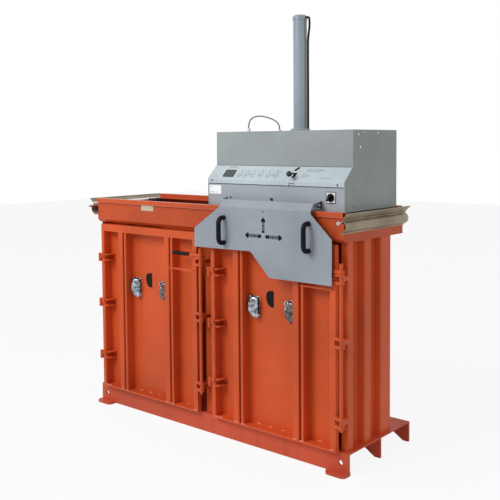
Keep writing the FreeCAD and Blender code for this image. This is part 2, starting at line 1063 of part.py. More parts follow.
    # black window and the two strap ratchets on the middle panel
    window = body_named(side + "_window", pin_x, -door_out)
    extrude(
        window,
        XZ,
        recess_depth - window_thick,
        recess_depth,
        [
            rounded(
                [
                    (window_x - window_width / 2, window_z - window_height / 2, window_width / 2),
                    (window_x + window_width / 2, window_z - window_height / 2, 3),
                    (window_x + window_width / 2, window_z + window_height / 2, 3),
                    (window_x - window_width / 2, window_z + window_height / 2, window_width / 2),
                ]
            )
        ],
    )
    buckles = body_named(side + "_buckles", pin_x, -door_out)
    made = [frame, panels, straps, brackets, rod, grip, window, buckles]
    axle_y = recess_depth - buckle_out + axle_radius
    axle_z = buckle_z + buckle_height / 2 - 18
    for n, x in ((1, buckle_1), (2, buckle_2)):
        left = x - buckle_width / 2
        right = x + buckle_width / 2
        low = buckle_z - buckle_height / 2
        high = buckle_z + buckle_height / 2
        extrude(buckles, XZ, recess_depth - buckle_sheet, recess_depth, [box(left, right, low, high)])
        for ear in (left + 6, right - 6 - buckle_sheet):
            extrude(
                buckles,
                YZ,
                ear,
                ear + buckle_sheet,
                [
                    rounded(
                        [
                            (recess_depth - buckle_sheet, low + 20, 1),
                            (recess_depth - buckle_sheet, high, 1),
                            (recess_depth - buckle_out, high - 4, 10),
                            (recess_depth - buckle_out, high - 34, 10),
                        ]
                    )
                ],
            )
        extrude(buckles, YZ, left + 2, right - 2, [circle(axle_y, axle_z, axle_radius)])
        handle = body_named("%s_buckle_lever_%d" % (side, n), pin_x, -door_out)
        inner = left + 6 + buckle_sheet + end_gap
        outer = right - 6 - buckle_sheet - end_gap
        for a, b in ((inner, inner + buckle_sheet), (outer - buckle_sheet, outer)):
            extrude(
                handle,
                YZ,
                a,
                b,
                [
                    rounded(
                        [
                            (axle_y - 12, axle_z + 11, 8),
                            (axle_y - 12, axle_z - handle_length, 3),
                            (axle_y - 2, axle_z - handle_length, 3),
                            (axle_y + 9, axle_z - 14, 6),
                            (axle_y + 9, axle_z + 11, 8),
                        ]
                    )
                ],
            )
        extrude(
            handle,
            YZ,
            inner,
            outer,
            [box(axle_y - 12, axle_y - 12 + buckle_sheet, axle_z - handle_length + 3, axle_z - 14)],
        )
        extrude(
            handle,
            YZ,
            inner - 1,
            outer + 1,
            [circle(axle_y, axle_z, axle_radius + running_gap)],
            cut=True,
        )
        made.append(handle)
    keep(*made)


for side, pin_x in pins:
    door(side, pin_x)

# ---------------------------------------------------------------- press head
cover = body_named("head_cover")
front = head_front
extrude(
    cover,
    YZ,
    Size("0", 0),
    head_width,
    [
        polygon(
            [
                (front, head_low),
                (head_back, head_low),
                (head_back, head_top),
                (head_upper, head_top),
                (head_upper, slope_high),
                (front, slope_low),
            ]
        )
    ],
)
extrude(
    cover,
    YZ,
    head_sheet,
    head_width - head_sheet,
    [
        polygon(
            [
                (front - 11, head_low - 8),
                (head_back - head_sheet, head_low - 8),
                (head_back - head_sheet, head_top - head_sheet),
                (head_upper + head_sheet, head_top - head_sheet),
                (head_upper + head_sheet, slope_high),
                (head_upper, slope_high),
                (head_upper, slope_high + 17),
                (front - 11, slope_low + 5),
            ]
        )
    ],
    cut=True,
)
extrude(
    cover,
    XY,
    head_top - 10,
    head_top + 10,
    [circle(mast_x, mast_y, mast_radius + end_gap)],
    cut=True,
)

# control panel: slope and lip, folded from one sheet
slope = FreeCAD.Vector(num(head_upper - head_front), num(slope_high - slope_low), 0).normalize()
half_sheet = head_sheet / 2
panel = body_named("control_panel")
root2 = head_sheet * 0.4142 / 2
extrude(
    panel,
    YZ,
    head_sheet,
    head_width - head_sheet,
    [
        folded(
            [
                (head_front + half_sheet, lip_low),
                (head_front + half_sheet, slope_low - root2, 4),
                (head_upper + half_sheet - 2, slope_high - root2 - 2),
            ],
            head_sheet,
        )
    ],
)
extrude(
    panel,
    XZ,
    head_front - 1,
    head_front + head_sheet + 1,
    [box(notch_left, notch_left + notch_width, lip_low - 1, lip_low + notch_height)],
    cut=True,
)
lower = body_named("lower_cover")
extrude(
    lower,
    XZ,
    lower_face,
    lower_face + head_sheet,
    [box(head_sheet, head_width - head_sheet, head_low, lip_low - end_gap)],
)
# lugs that carry the guard's pin
for x in (lug_left, lug_right):
    extrude(
        lower,
        YZ,
        x,
        x + lug_thick,
        [
            polygon(
                [
                    (guard_axis_y, guard_axis_z - 10),
                    (lower_face, guard_axis_z - 16),
                    (lower_face, guard_axis_z + 18),
                    (guard_axis_y, guard_axis_z + 10),
                ]
            )
        ],
    )
    extrude(lower, YZ, x, x + lug_thick, [circle(guard_axis_y, guard_axis_z, 10)])
    extrude(lower, YZ, x - 1, x + lug_thick + 1, [circle(guard_axis_y, guard_axis_z, guard_pin)], cut=True)

# display, set square on the slope
on_slope = FreeCAD.Vector(-slope.y, slope.x, 0)


def slope_point(z, out):
    """A point at height z on the slope, moved out square to it."""
    y = head_front + (z - slope_low) * (num(head_upper - head_front) / num(slope_high - slope_low))
    return (y + on_slope.x * out, z + on_slope.y * out)


display = body_named("display")
low_a = slope_point(slope_low + 8, 0.05)
low_b = slope_point(slope_low + 8, 3)
high_a = slope_point(slope_low + 34, 0.05)
high_b = slope_point(slope_low + 34, 3)
extrude(display, YZ, Size("50", 50), Size("140", 140), [polygon([low_a, high_a, high_b, low_b])])

# forked bracket on the slope, and the ball lever that tilts in it
pivot = slope_point(lever_base_z, socket_height + end_gap + pivot_radius)
inner_cheek = boss_half + end_gap
outer_cheek = inner_cheek + cheek_thick
socket = body_named("lever_socket")
extrude(
    socket,
    YZ,
    lever_x - socket_half,
    lever_x + socket_half,
    [
        polygon(
            [
                slope_point(lever_base_z - 7, 0.05),
                slope_point(lever_base_z - 7, socket_height),
                slope_point(lever_base_z + 7, socket_height),
                slope_point(lever_base_z + 7, 0.05),
            ]
        )
    ],
)
for a, b in ((lever_x - outer_cheek, lever_x - inner_cheek), (lever_x + inner_cheek, lever_x + outer_cheek)):
    extrude(
        socket,
        YZ,
        a,
        b,
        [
            polygon(
                [
                    slope_point(lever_base_z - 5, socket_height - 1),
                    slope_point(lever_base_z - 4, socket_height + pivot_radius + 5),
                    slope_point(lever_base_z + 4, socket_height + pivot_radius + 5),
                    slope_point(lever_base_z + 5, socket_height - 1),
                ]
            )
        ],
    )
    extrude(socket, YZ, a - 1, b + 1, [circle(pivot[0], pivot[1], pivot_pin + running_gap)], cut=True)

lever = body_named("operating_lever", lever_x, pivot[0])
lever.setExpression("Placement.Base.z", words(pivot[1]))
extrude(lever, YZ, -boss_half, boss_half, [circle(0, 0, pivot_radius)])
extrude(lever, YZ, -outer_cheek, outer_cheek, [circle(0, 0, pivot_pin)])


def ball_outline(sketch):
    """Half outline of stem and ball beside the lever's own axis."""
    radius = num(lever_ball)
    reach = num(lever_out)
    stem = num(lever_stem)
    points = [(0, 0), (0, stem)]
    for k in range(1, 11):
        angle = math.radians(15 + 15 * k)
        points.append((-reach + radius * math.cos(angle), radius * math.sin(angle)))
    points.append((-reach - radius, 0))
    polygon(points)(sketch)


turn_sketch = sketch_on(lever, YZ, Size("0", 0))
ball_outline(turn_sketch)
turned_ball = lever.newObject("PartDesign::Revolution", "operating_lever_turn")
turned_ball.Profile = turn_sketch
turned_ball.ReferenceAxis = (turn_sketch, ["H_Axis"])
turned_ball.Angle = 360
turn_sketch.Visibility = False

switch_plate = body_named("switch_plate")
side_half = switch_plate_side / 2
extrude(
    switch_plate,
    XZ,
    lower_face - small_sheet,
    lower_face,
    [box(switch_x - side_half, switch_x + side_half, switch_z - side_half, switch_z + side_half)],
)
knob = body_named("selector_knob")
knob_back = lower_face - small_sheet - end_gap
extrude(knob, XZ, knob_back - 5, knob_back, [circle(switch_x, switch_z, knob_radius)])
extrude(
    knob,
    XZ,
    knob_back - knob_out,
    knob_back - 5,
    [box(switch_x - 4, switch_x + 4, switch_z - knob_radius + 1, switch_z + knob_radius - 1)],
)

label_plate = body_named("label_plate")
extrude(
    label_plate,
    XZ,
    lower_face - small_sheet,
    lower_face,
    [box(Size("8", 8), Size("84", 84), Size("1173", 1173), Size("1214", 1214))],
)

bolts = body_named("head_bolts")
extrude(
    bolts,
    XZ,
    lower_face - 9,
    lower_face,
    [circle(mast_x, guard_axis_z + 26, 11)],
)
extrude(bolts, XZ, lower_face - 4, lower_face, [circle(fold_left + 18, guard_axis_z + 30, 6)])
extrude(bolts, XZ, head_front - 3, head_front, [circle(20, slope_low - 11, 5), circle(head_width - bolt_inset, slope_low - 11, 5)])
screws = ((130, 18), (182, 9), (300, 12), (146, 77), (101, 253), (74, 330))
extrude(
    bolts,
    YZ,
    head_width,
    head_width + 3,
    [circle(y, head_top - down, 5) for y, down in screws],
)
keep(cover, panel, lower, display, socket, lever, switch_plate, knob, label_plate, bolts)

# shelf inside the head: it carries the cylinder and the stub axles of the four rollers
shelf = body_named("head_frame")
shelf_back = head_back - head_sheet
extrude(
    shelf,
    XY,
    shelf_height,
    shelf_height + shelf_thick,
    [
        box(head_sheet, head_width - head_sheet, lower_face + head_sheet, shelf_back),
        circle(mast_x, mast_y, mast_radius + end_gap),
    ],
)
axle_z = rail_top + roller_radius + end_gap
front_gap = lower_face + head_sheet + 1
front_roller = front_gap
rear_roller = shelf_back - 1 - roller_width
front_arm = front_roller + roller_width + end_gap
rear_arm = rear_roller - end_gap - 5
roller_xs = (roller_inset, head_width - roller_inset)
for x in roller_xs:
    extrude(
        shelf,
        XZ,
        front_arm,
        front_arm + 5,
        [box(x - 20, x + 20, axle_z - 15, shelf_height)],
    )
    extrude(shelf, XZ, rear_arm, rear_arm + 5, [box(x - 20, x + 20, axle_z - 15, shelf_height)])
    extrude(shelf, XZ, front_roller, front_arm, [circle(x, axle_z, axle_pin)])
    extrude(shelf, XZ, rear_arm + 5, rear_roller + roller_width, [circle(x, axle_z, axle_pin)])
keep(shelf)
for name, x in zip(("left_rollers", "right_rollers"), roller_xs):
    roller = body_named(name)
    for y in (front_roller, rear_roller):
        extrude(
            roller,
            XZ,
            y,
            y + roller_width,
            [circle(x, axle_z, roller_radius), circle(x, axle_z, axle_pin + running_gap)],
        )
    keep(roller)

# cylinder with its closed top, and the flange on the head
cylinder = turned(
    "cylinder_tube",
    mast_x,
    mast_y,
    [
        (mast_bore, mast_low),
        (mast_radius + 20, mast_low),
        (mast_radius + 20, shelf_height),
        (mast_radius, shelf_height),
        (mast_radius, head_top),
        (collar_radius, head_top),
        (collar_radius, head_top + collar_height - 3),
        (collar_radius - 3, head_top + collar_height),
        (mast_radius, head_top + collar_height),
        (mast_radius, mast_high - cap_height),
        (cap_radius, mast_high - cap_height),
        (cap_radius, mast_high - cap_chamfer),
        (cap_radius - cap_chamfer, mast_high),
        (0, mast_high),
        (0, mast_high - cap_height),
        (mast_bore, mast_high - cap_height),
    ],
)
keep(cylinder)


def tube_through(label, points, tube_radius, smallest):
    """Round tube of straight runs joined by arcs as large as their runs allow."""
    spots = [FreeCAD.Vector(num(p[0]), num(p[1] + SHIFT), num(p[2])) for p in points]
    edges = []
    start = spots[0]
    for i in range(1, len(spots) - 1):
        a = (spots[i] - spots[i - 1]).normalize()
        b = (spots[i + 1] - spots[i]).normalize()
        turn = a.getAngle(b)
        shorter = min((spots[i] - spots[i - 1]).Length, (spots[i + 1] - spots[i]).Length)
        back = 0.45 * shorter
        radius = back / math.tan(turn / 2)
        print("%s arc %d radius %.1f" % (label, i, radius))
        if radius < smallest:
            print("%s arc %d is tight" % (label, i))
        enter = spots[i] - a * back
        leave = spots[i] + b * back
        toward = (b - a).normalize()
        middle = spots[i] + toward * (radius / math.cos(turn / 2) - radius)
        edges.append(Part.LineSegment(start, enter).toShape())
        edges.append(Part.Arc(enter, middle, leave).toShape())
        start = leave
    edges.append(Part.LineSegment(start, spots[-1]).toShape())
    path = Part.Wire(edges)
    first = (spots[1] - spots[0]).normalize()
    ring = Part.Wire([Part.Circle(spots[0], first, num(tube_radius)).toShape()])
    tube = path.makePipeShell([ring], True, False)
    wanted = math.pi * num(tube_radius) ** 2 * path.Length
    print("%s length %.1f volume %.1f of %.1f" % (label, path.Length, tube.Volume, wanted))
    piece = doc.addObject("Part::Feature", label)
    piece.Label = label
    piece.Shape = tube
    return piece


# cable from its gland over to the second gland on the top of the head
cable_points = ((0, 0, 0), (0, 0, 28), (24, 2, 53), (68, 3, 59), (117, 3, 50), (161, 2, 36))
glands = body_named("cable_glands")
extrude(glands, XY, head_top, head_top + gland_height, [circle(gland_x, gland_y, gland_radius)])
extrude(glands, XY, head_top, head_top + 6, [circle(exit_x, gland_y, gland_radius)])
up = head_top + gland_height
cable = tube_through(
    "cable",
    [
        *[(gland_x + x, gland_y + y, up + z) for x, y, z in cable_points],
        (exit_x - 1, gland_y, up + 14),
        (exit_x, gland_y, head_top + 6),
    ],
    cable_radius,
    3 * num(cable_radius) * 2,
)
keep(glands, cable)

# oil pipe down the cylinder, from an elbow on the closed top
pipe_x = mast_x + mast_radius + 10
pipe = tube_through(
    "mast_pipe",
    [
        (mast_x + cap_radius + 0.05, mast_y, mast_high - 12),
        (pipe_x + 10, mast_y, mast_high - 12),
        (pipe_x + 13, mast_y, mast_high - 50),
        (pipe_x, mast_y + 4, mast_high - pipe_drop),
        (pipe_x, mast_y + 4, head_top + collar_height),
    ],
    Size("5", 5),
    10,
)
keep(pipe)

# ---------------------------------------------------------------- ram
ram = body_named("piston_rod")
extrude(ram, XY, plate_bottom + press_thick, rod_end, [circle(mast_x, mast_y, mast_bore - end_gap)])
press = body_named("press_plate")
extrude(
    press,
    XY,
    plate_bottom,
    plate_bottom + press_thick,
    [
        box(
            mast_x - press_half_x,
            mast_x + press_half_x,
            mast_y - press_half_y,
            mast_y + press_half_y,
        )
    ],
)
keep(ram, press)

# ---------------------------------------------------------------- guard
guard = body_named("guard_plate")
back_face = guard_sheet - guard_face
extrude(
    guard,
    XZ,
    -guard_face,
    back_face,
    [
        rounded(
            [
                (fold_left, guard_fold, 1),
                (guard_left, guard_shoulder, 2),
                (guard_left, guard_lobe_low, 4),
                (guard_left + lobe_width, guard_lobe_low + 5, 30),
                (guard_left + lobe_width + lobe_slope, guard_low, 30),
                (guard_right, guard_low, 4),
                (guard_right, guard_shoulder, 6),
                (guard_right - shoulder_run, guard_fold - 13, 4),
                (fold_right, guard_fold, 1),
            ]
        )
    ],
)
fold_y = guard_sheet / 2 - guard_face
extrude(
    guard,
    YZ,
    fold_left,
    fold_right,
    [
        folded(
            [
                (fold_y, guard_fold - 12),
                (fold_y, guard_fold, 4),
                (guard_axis_y - 19, guard_axis_z + 7),
            ],
            guard_sheet,
        )
    ],
)
for x in (fold_left, fold_right - 6):
    extrude(
        guard,
        YZ,
        x,
        x + 6,
        [
            polygon(
                [
                    (guard_axis_y, guard_axis_z + 10),
                    (guard_axis_y - 19, guard_axis_z + 8),
                    (fold_y + 2, guard_fold + 1),
                    (guard_axis_y, guard_axis_z - 10),
                ]
            )
        ],
    )
    extrude(guard, YZ, x, x + 6, [circle(guard_axis_y, guard_axis_z, 10)])
    extrude(
        guard,
        YZ,
        x - 1,
        x + 7,
        [circle(guard_axis_y, guard_axis_z, guard_pin + running_gap)],
        cut=True,
    )

shaft = body_named("guard_pin_rod")
extrude(
    shaft,
    YZ,
    lug_left - 4,
    lug_right + lug_thick + 4,
    [circle(guard_axis_y, guard_axis_z, guard_pin)],
)

handles = body_named("guard_handles")
bar = handle_bar / 2
front_y = -guard_face - handle_reach + bar
for x in (handle_left, handle_right):
    extrude(
        handles,
        YZ,
        x - bar,
        x + bar,
        [
            folded(
                [
                    (-guard_face, handle_low + bar),
                    (front_y, handle_low + bar, 18),
                    (front_y, handle_high - bar, 18),
                    (-guard_face, handle_high - bar),
                ],
                handle_bar,
            )
        ],
    )
keep(guard, shaft, handles)

# ---------------------------------------------------------------- check and write
doc.recompute()
for item in doc.Objects:
    for state in item.State:
        if state in ("Invalid", "Error"):
            raise ValueError("%s is %s" % (item.Label, state))
for piece in pieces:
    if piece.Shape.isNull() or not piece.Shape.isValid():
        raise ValueError("%s has no valid shape" % piece.Label)

os.makedirs("parts", exist_ok=True)
for piece in pieces:
    piece.Shape.exportStep("parts/%s.step" % piece.Label)
print("%d pieces written" % len(pieces))
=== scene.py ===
# %% [markdown]
# # A two-chamber baler, dressed in Blender
# The machine's plain solids come ready made from the CAD model. This lesson gives them paint,
# steel, plastic and rubber, and replaces the small parts whose shape the solids only hint at:
# handles, grips, strap ratchets, windows, screws, the lever and the loop of cable.
# Loading comes first, because every later piece takes its place from a solid.

# %% Load the solids
import bpy
import bmesh
import json
import math
from mathutils import Matrix, Vector


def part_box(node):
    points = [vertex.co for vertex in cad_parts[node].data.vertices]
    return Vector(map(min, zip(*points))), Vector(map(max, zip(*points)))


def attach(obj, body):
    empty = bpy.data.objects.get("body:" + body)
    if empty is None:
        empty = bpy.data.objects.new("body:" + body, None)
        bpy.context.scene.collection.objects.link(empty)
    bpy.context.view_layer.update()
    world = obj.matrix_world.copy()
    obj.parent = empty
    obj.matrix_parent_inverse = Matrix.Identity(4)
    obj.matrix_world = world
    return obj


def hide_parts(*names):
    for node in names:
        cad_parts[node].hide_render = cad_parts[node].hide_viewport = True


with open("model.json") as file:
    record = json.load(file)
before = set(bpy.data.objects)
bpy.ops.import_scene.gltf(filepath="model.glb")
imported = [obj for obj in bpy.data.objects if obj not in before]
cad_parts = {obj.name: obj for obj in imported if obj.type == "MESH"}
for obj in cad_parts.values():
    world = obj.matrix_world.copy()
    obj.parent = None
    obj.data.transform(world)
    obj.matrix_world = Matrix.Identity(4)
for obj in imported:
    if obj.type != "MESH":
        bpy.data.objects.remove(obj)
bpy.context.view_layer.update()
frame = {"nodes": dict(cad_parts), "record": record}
solid = frame["nodes"]

# %% [markdown]
# The drawing of the machine counts millimetres: X from the middle, Y backwards from the front
# of the base, Z from the floor. Blender works in metres about the middle of the footprint. One
# small helper turns the first into the second, so that all numbers below read like the drawing.
# The planes that many small parts stand on get their names here.

# %% Drawing millimetres to metres
MM = 1000  # millimetres in a metre
BASE_FRONT = -0.207  # metres, Blender's Y where the drawing's Y is 0
PINS = (("left", -770), ("right", 38))  # X of each door's hinge pins
DOOR = -28  # Y of the door panels' front
RECESS = DOOR + 50  # Y of the floor of their recesses
GUARD_FRONT = -56  # Y of the guard's front
HEAD_FRONT = 11  # Y of the head's lip, label and switch plate; its cover lies 2 mm behind
HEAD_SIDE = 781  # X of the press head's right side


def spot(x, y, z):
    """A point of the drawing, in metres."""
    return Vector((x / MM, y / MM + BASE_FRONT, z / MM))


print("guard's hinge pin is at", [round(v, 3) for v in spot(390, -14, 1146)])

# %% [markdown]
# ## The camera
# The photograph was taken from the right front corner, at shoulder height, through a normal lens.
# Its place was found from the machine's straight edges. A camera in Blender looks along its own
# minus Z, so its turn is built from three axes: right, up and back. The lens shift brings the low
# base into the frame with hardly any tilt, which keeps upright posts upright.

# %% Camera
CAMERA_PLACE = (2.61938, -2.97355, 1.41189)
AZIMUTH, HEIGHT, ROLL = 40.31, 3.37, -0.42  # degrees


def camera_turn(azimuth, height, roll):
    """Rotation whose Z axis points from the machine back to the camera."""
    a, e, r = (math.radians(v) for v in (azimuth, height, roll))
    back = Vector((math.sin(a) * math.cos(e), -math.cos(a) * math.cos(e), math.sin(e)))
    right = (-back).cross(Vector((0, 0, 1))).normalized()
    up = back.cross(right)
    across = right * math.cos(r) + up * math.sin(r)
    upward = up * math.cos(r) - right * math.sin(r)
    return Matrix((across, upward, back)).transposed()


lens = bpy.data.cameras.new("camera")
lens.lens, lens.sensor_width, lens.shift_y = 57.18, 36, -0.12
camera = bpy.data.objects.new("camera", lens)
turn = camera_turn(AZIMUTH, HEIGHT, ROLL).to_4x4()
camera.matrix_world = Matrix.Translation(CAMERA_PLACE) @ turn
bpy.context.scene.collection.objects.link(camera)
bpy.context.scene.camera = camera
bpy.context.scene.view_settings.view_transform = "Standard"
print("camera stands", round(camera.location.z, 2), "m high")

# %% [markdown]
# ## The cable
# A thin flexible cable leaves a gland on top of the press head, rises, bends over and dives into
# a second, lower gland. A spline with a few control points is the right tool: a NURBS of
# order three leans towards its points without touching them, and so bends as a cable does, with
# no kinks. A bevel turns the line into a tube; its depth is one, so that each point's radius is
# the tube's own.

# %% Cable loop
def wire_line(name, points, thickness, fine=12):
    """A round wire along a smooth line near the points."""
    curve = bpy.data.curves.new(name, "CURVE")
    curve.dimensions = "3D"
    line = curve.splines.new("NURBS")
    line.points.add(len(points) - 1)
    for p, place in zip(line.points, points):
        p.co = (*place, 1)
        p.radius = thickness / 2
    line.order_u = 3
    line.use_endpoint_u = True
    curve.resolution_u = fine
    curve.bevel_depth = 1.0
    curve.bevel_resolution = 4
    curve.use_fill_caps = True
    wire = bpy.data.objects.new(name, curve)
    bpy.context.scene.collection.objects.link(wire)
    return wire


cable_route = [(97, 200, 1485), (97, 200, 1513), (121, 202, 1538), (165, 203, 1544),
               (214, 203, 1535), (258, 202, 1521), (289, 200, 1499), (290, 200, 1473)]
cable_points = [spot(*p) for p in cable_route]
cable = wire_line("cable_loop", cable_points, 0.0064)
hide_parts("cable")
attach(cable, "head")
print("cable of", len(cable_points), "points")

# %% [markdown]
# ## Floor, room and light
# The catalogue picture has a white ground. The floor looks white to the camera, yet it still
# takes the machine's shadow, so the machine doesn't float. A plain white floor would turn grey
# away from the lamps. The trick is Light Path: to the camera the floor is mostly glow, and to
# the machine it is an ordinary dull floor.

# %% Floor
ALL_SEEN = ("Is Camera Ray", "Is Glossy Ray", "Is Transmission Ray")
FLOOR_REACH = 14  # metres each way from the middle
GLOW_SHARE = 0.9  # of the floor that the camera sees; the rest of it takes the shadow


def seen_by_eye(tree):
    """1 for rays that end in the picture directly or by a mirror, else 0."""
    path = tree.nodes.new("ShaderNodeLightPath")
    total = path.outputs[ALL_SEEN[0]]
    for name in ALL_SEEN[1:]:
        more = tree.nodes.new("ShaderNodeMath")
        more.operation = "MAXIMUM"
        tree.links.new(total, more.inputs[0])
        tree.links.new(path.outputs[name], more.inputs[1])
        total = more.outputs[0]
    return total


corners = [(x * FLOOR_REACH, y * FLOOR_REACH, 0) for x, y in ((-1, -1), (1, -1), (1, 1), (-1, 1))]
floor_mesh = bpy.data.meshes.new("floor")
floor_mesh.from_pydata(corners, [], [(0, 1, 2, 3)])
floor = bpy.data.objects.new("floor", floor_mesh)
bpy.context.scene.collection.objects.link(floor)
ground = bpy.data.materials.new("white_ground")
ground.use_nodes = True
tree = ground.node_tree
tree.nodes.clear()
dull = tree.nodes.new("ShaderNodeBsdfDiffuse")
dull.inputs["Color"].default_value = (0.8, 0.8, 0.8, 1)
glow = tree.nodes.new("ShaderNodeEmission")
glow.inputs["Strength"].default_value = 1.0
glow_and_dull = tree.nodes.new("ShaderNodeMixShader")
glow_and_dull.inputs[0].default_value = GLOW_SHARE
only_eye = tree.nodes.new("ShaderNodeMixShader")
out = tree.nodes.new("ShaderNodeOutputMaterial")
tree.links.new(dull.outputs[0], glow_and_dull.inputs[1])
tree.links.new(glow.outputs[0], glow_and_dull.inputs[2])
tree.links.new(seen_by_eye(tree), only_eye.inputs[0])
tree.links.new(dull.outputs[0], only_eye.inputs[1])
tree.links.new(glow_and_dull.outputs[0], only_eye.inputs[2])
tree.links.new(only_eye.outputs[0], out.inputs[0])
floor_mesh.materials.append(ground)
print("floor is", floor.dimensions.x, "m wide")

# %% [markdown]
# The room is a white world that lights the machine evenly, at less than half of what the camera
# sees of it, so that shadows keep some depth. Only two lamps stand in it: a broad cool key from
# the front left and above, and a weak warm fill from the right.

# %% Room and lamps
ROOM_LIGHT = 0.44  # the room's strength where it lights the machine; the camera sees 1.0

room = bpy.data.worlds.new("room")
bpy.context.scene.world = room
room.use_nodes = True
sky = room.node_tree.nodes["Background"]
strength = room.node_tree.nodes.new("ShaderNodeMapRange")
strength.inputs["To Min"].default_value = ROOM_LIGHT
strength.inputs["To Max"].default_value = 1.0
room.node_tree.links.new(seen_by_eye(room.node_tree), strength.inputs["Value"])
room.node_tree.links.new(strength.outputs[0], sky.inputs["Strength"])
sky.inputs["Color"].default_value = (1, 1, 1, 1)


def soft_lamp(name, place, aim, side, power, tint):
    """A square lamp that looks at a point."""
    lamp = bpy.data.lights.new(name, "AREA")
    lamp.size, lamp.energy, lamp.color = side, power, tint
    holder = bpy.data.objects.new(name, lamp)
    holder.location = place
    holder.rotation_mode = "QUATERNION"
    holder.rotation_quaternion = (Vector(aim) - Vector(place)).to_track_quat("-Z", "Y")
    bpy.context.scene.collection.objects.link(holder)
    return power


key = soft_lamp("key", (-1.0, -3.5, 3.7), (0, 0, 0.7), 2.2, 130, (0.98, 0.99, 1))
fill = soft_lamp("fill", (3.6, 0.2, 2.2), (0, 0, 0.8), 2.0, 13, (1, 0.97, 0.84))
print("lamps of", key, "W and", fill, "W")

# %% [markdown]
# ## Paint
# All sheet metal here is powder coated. Such a coat is never one flat colour, and each of its
# traits is a few shader nodes. They could be placed by hand in the editor; a small class does
# the same with few words, and keeps the recipes below short enough to read. Its patterns use
# object coordinates, which keep them fixed to the steel when a door swings.

# %% Material bench
def shade(r, g, b):
    """Screen colour, 0 to 255, as the linear colour that a shader wants."""
    linear = [((v / 255 + 0.055) / 1.055) ** 2.4 if v > 10 else v / 255 / 12.92
              for v in (r, g, b)]
    return (*linear, 1)


def toned(tone, factor, lift=0.0):
    """The same colour, lighter or darker."""
    return (*[min(1, v * factor + lift) for v in tone[:3]], 1)


class Bench:
    """A material under construction: nodes are added and joined with few words."""

    def __init__(self, name):
        self.material = bpy.data.materials.new(name)
        self.material.use_nodes = True
        self.tree = self.material.node_tree
        self.skin = self.tree.nodes["Principled BSDF"]
        self.place = self.tree.nodes.new("ShaderNodeTexCoord").outputs["Object"]

    def add(self, kind, **settings):
        node = self.tree.nodes.new("ShaderNode" + kind)
        for key, value in settings.items():
            setattr(node, key, value)
        return node

    def join(self, a, b):
        self.tree.links.new(a, b)

    def cloud(self, scale, detail=3, stretch=(1, 1, 1), rough=0.55):
        """Noise from 0 to 1, about scale blobs in a metre."""
        move = self.add("Mapping")
        move.inputs["Scale"].default_value = stretch
        noise = self.add("TexNoise")
        noise.inputs["Scale"].default_value = scale
        noise.inputs["Detail"].default_value = detail
        noise.inputs["Roughness"].default_value = rough
        self.join(self.place, move.inputs["Vector"])
        self.join(move.outputs[0], noise.inputs["Vector"])
        return noise.outputs["Fac"]

    def ramp(self, value, low, high, a=0.0, b=1.0):
        """The value between low and high, spread out from a to b."""
        node = self.add("MapRange")
        for key, number in (("From Min", low), ("From Max", high), ("To Min", a), ("To Max", b)):
            node.inputs[key].default_value = number
        self.join(value, node.inputs["Value"])
        return node.outputs[0]

    def mix(self, share, a, b):
        """Colour a where share is 0, and b where it is 1."""
        node = self.add("Mix", data_type="RGBA")
        self.join(share, node.inputs["Factor"])
        for colour, socket in ((a, node.inputs["A"]), (b, node.inputs["B"])):
            if isinstance(colour, tuple):
                socket.default_value = colour
            else:
                self.join(colour, socket)
        return node.outputs["Result"]

    def times(self, a, b, kind="MULTIPLY"):
        """The product of two values, or what another kind of Math node makes of them."""
        node = self.add("Math", operation=kind)
        self.join(a, node.inputs[0])
        if isinstance(b, (int, float)):
            node.inputs[1].default_value = b
        else:
            self.join(b, node.inputs[1])
        return node.outputs[0]

    def edges(self, width):
        """1 on outer and inner edges of about that width in metres, 0 on flats."""
        soft = self.add("Bevel", samples=6)
        soft.inputs["Radius"].default_value = width
        sharp = self.add("NewGeometry")
        compare = self.add("VectorMath", operation="DOT_PRODUCT")
        self.join(soft.outputs[0], compare.inputs[0])
        self.join(sharp.outputs["Normal"], compare.inputs[1])
        return self.ramp(compare.outputs["Value"], 0.995, 0.93)

    def within(self, axis, low, high):
        """1 where the steel lies between two values of its own X, Y or Z, else 0."""
        parts = self.add("SeparateXYZ")
        self.join(self.place, parts.inputs[0])
        above = self.times(parts.outputs[axis], low, "GREATER_THAN")
        return self.times(above, self.times(parts.outputs[axis], high, "LESS_THAN"))

    def bump(self, height, strength, depth):
        """Makes the skin rise and fall with the height, depth in metres."""
        node = self.add("Bump")
        node.inputs["Strength"].default_value = strength
        node.inputs["Distance"].default_value = depth
        self.join(height, node.inputs["Height"])
        self.join(node.outputs[0], self.skin.inputs["Normal"])


print("a mid grey reads", [round(v, 3) for v in shade(128, 128, 128)])

# %% [markdown]
# A powder coat has a fine orange-peel skin, a slightly cloudy tone, and lighter edges. A broad
# noise gives the tone, a fine noise the skin, and a test for rounded edges the lighter edges,
# which a third noise breaks up. They are partly paint that boots and cans have rubbed off, and
# partly a painted highlight. One recipe with a few settings serves the whole machine; the pieces
# differ in tone and in how much their edges are lightened. The hinge lug at the right of the
# lower cover is dark, so that coat has a zone with a colour of its own.

# %% Powder coat
PEEL = 900  # dimples of the skin in a metre


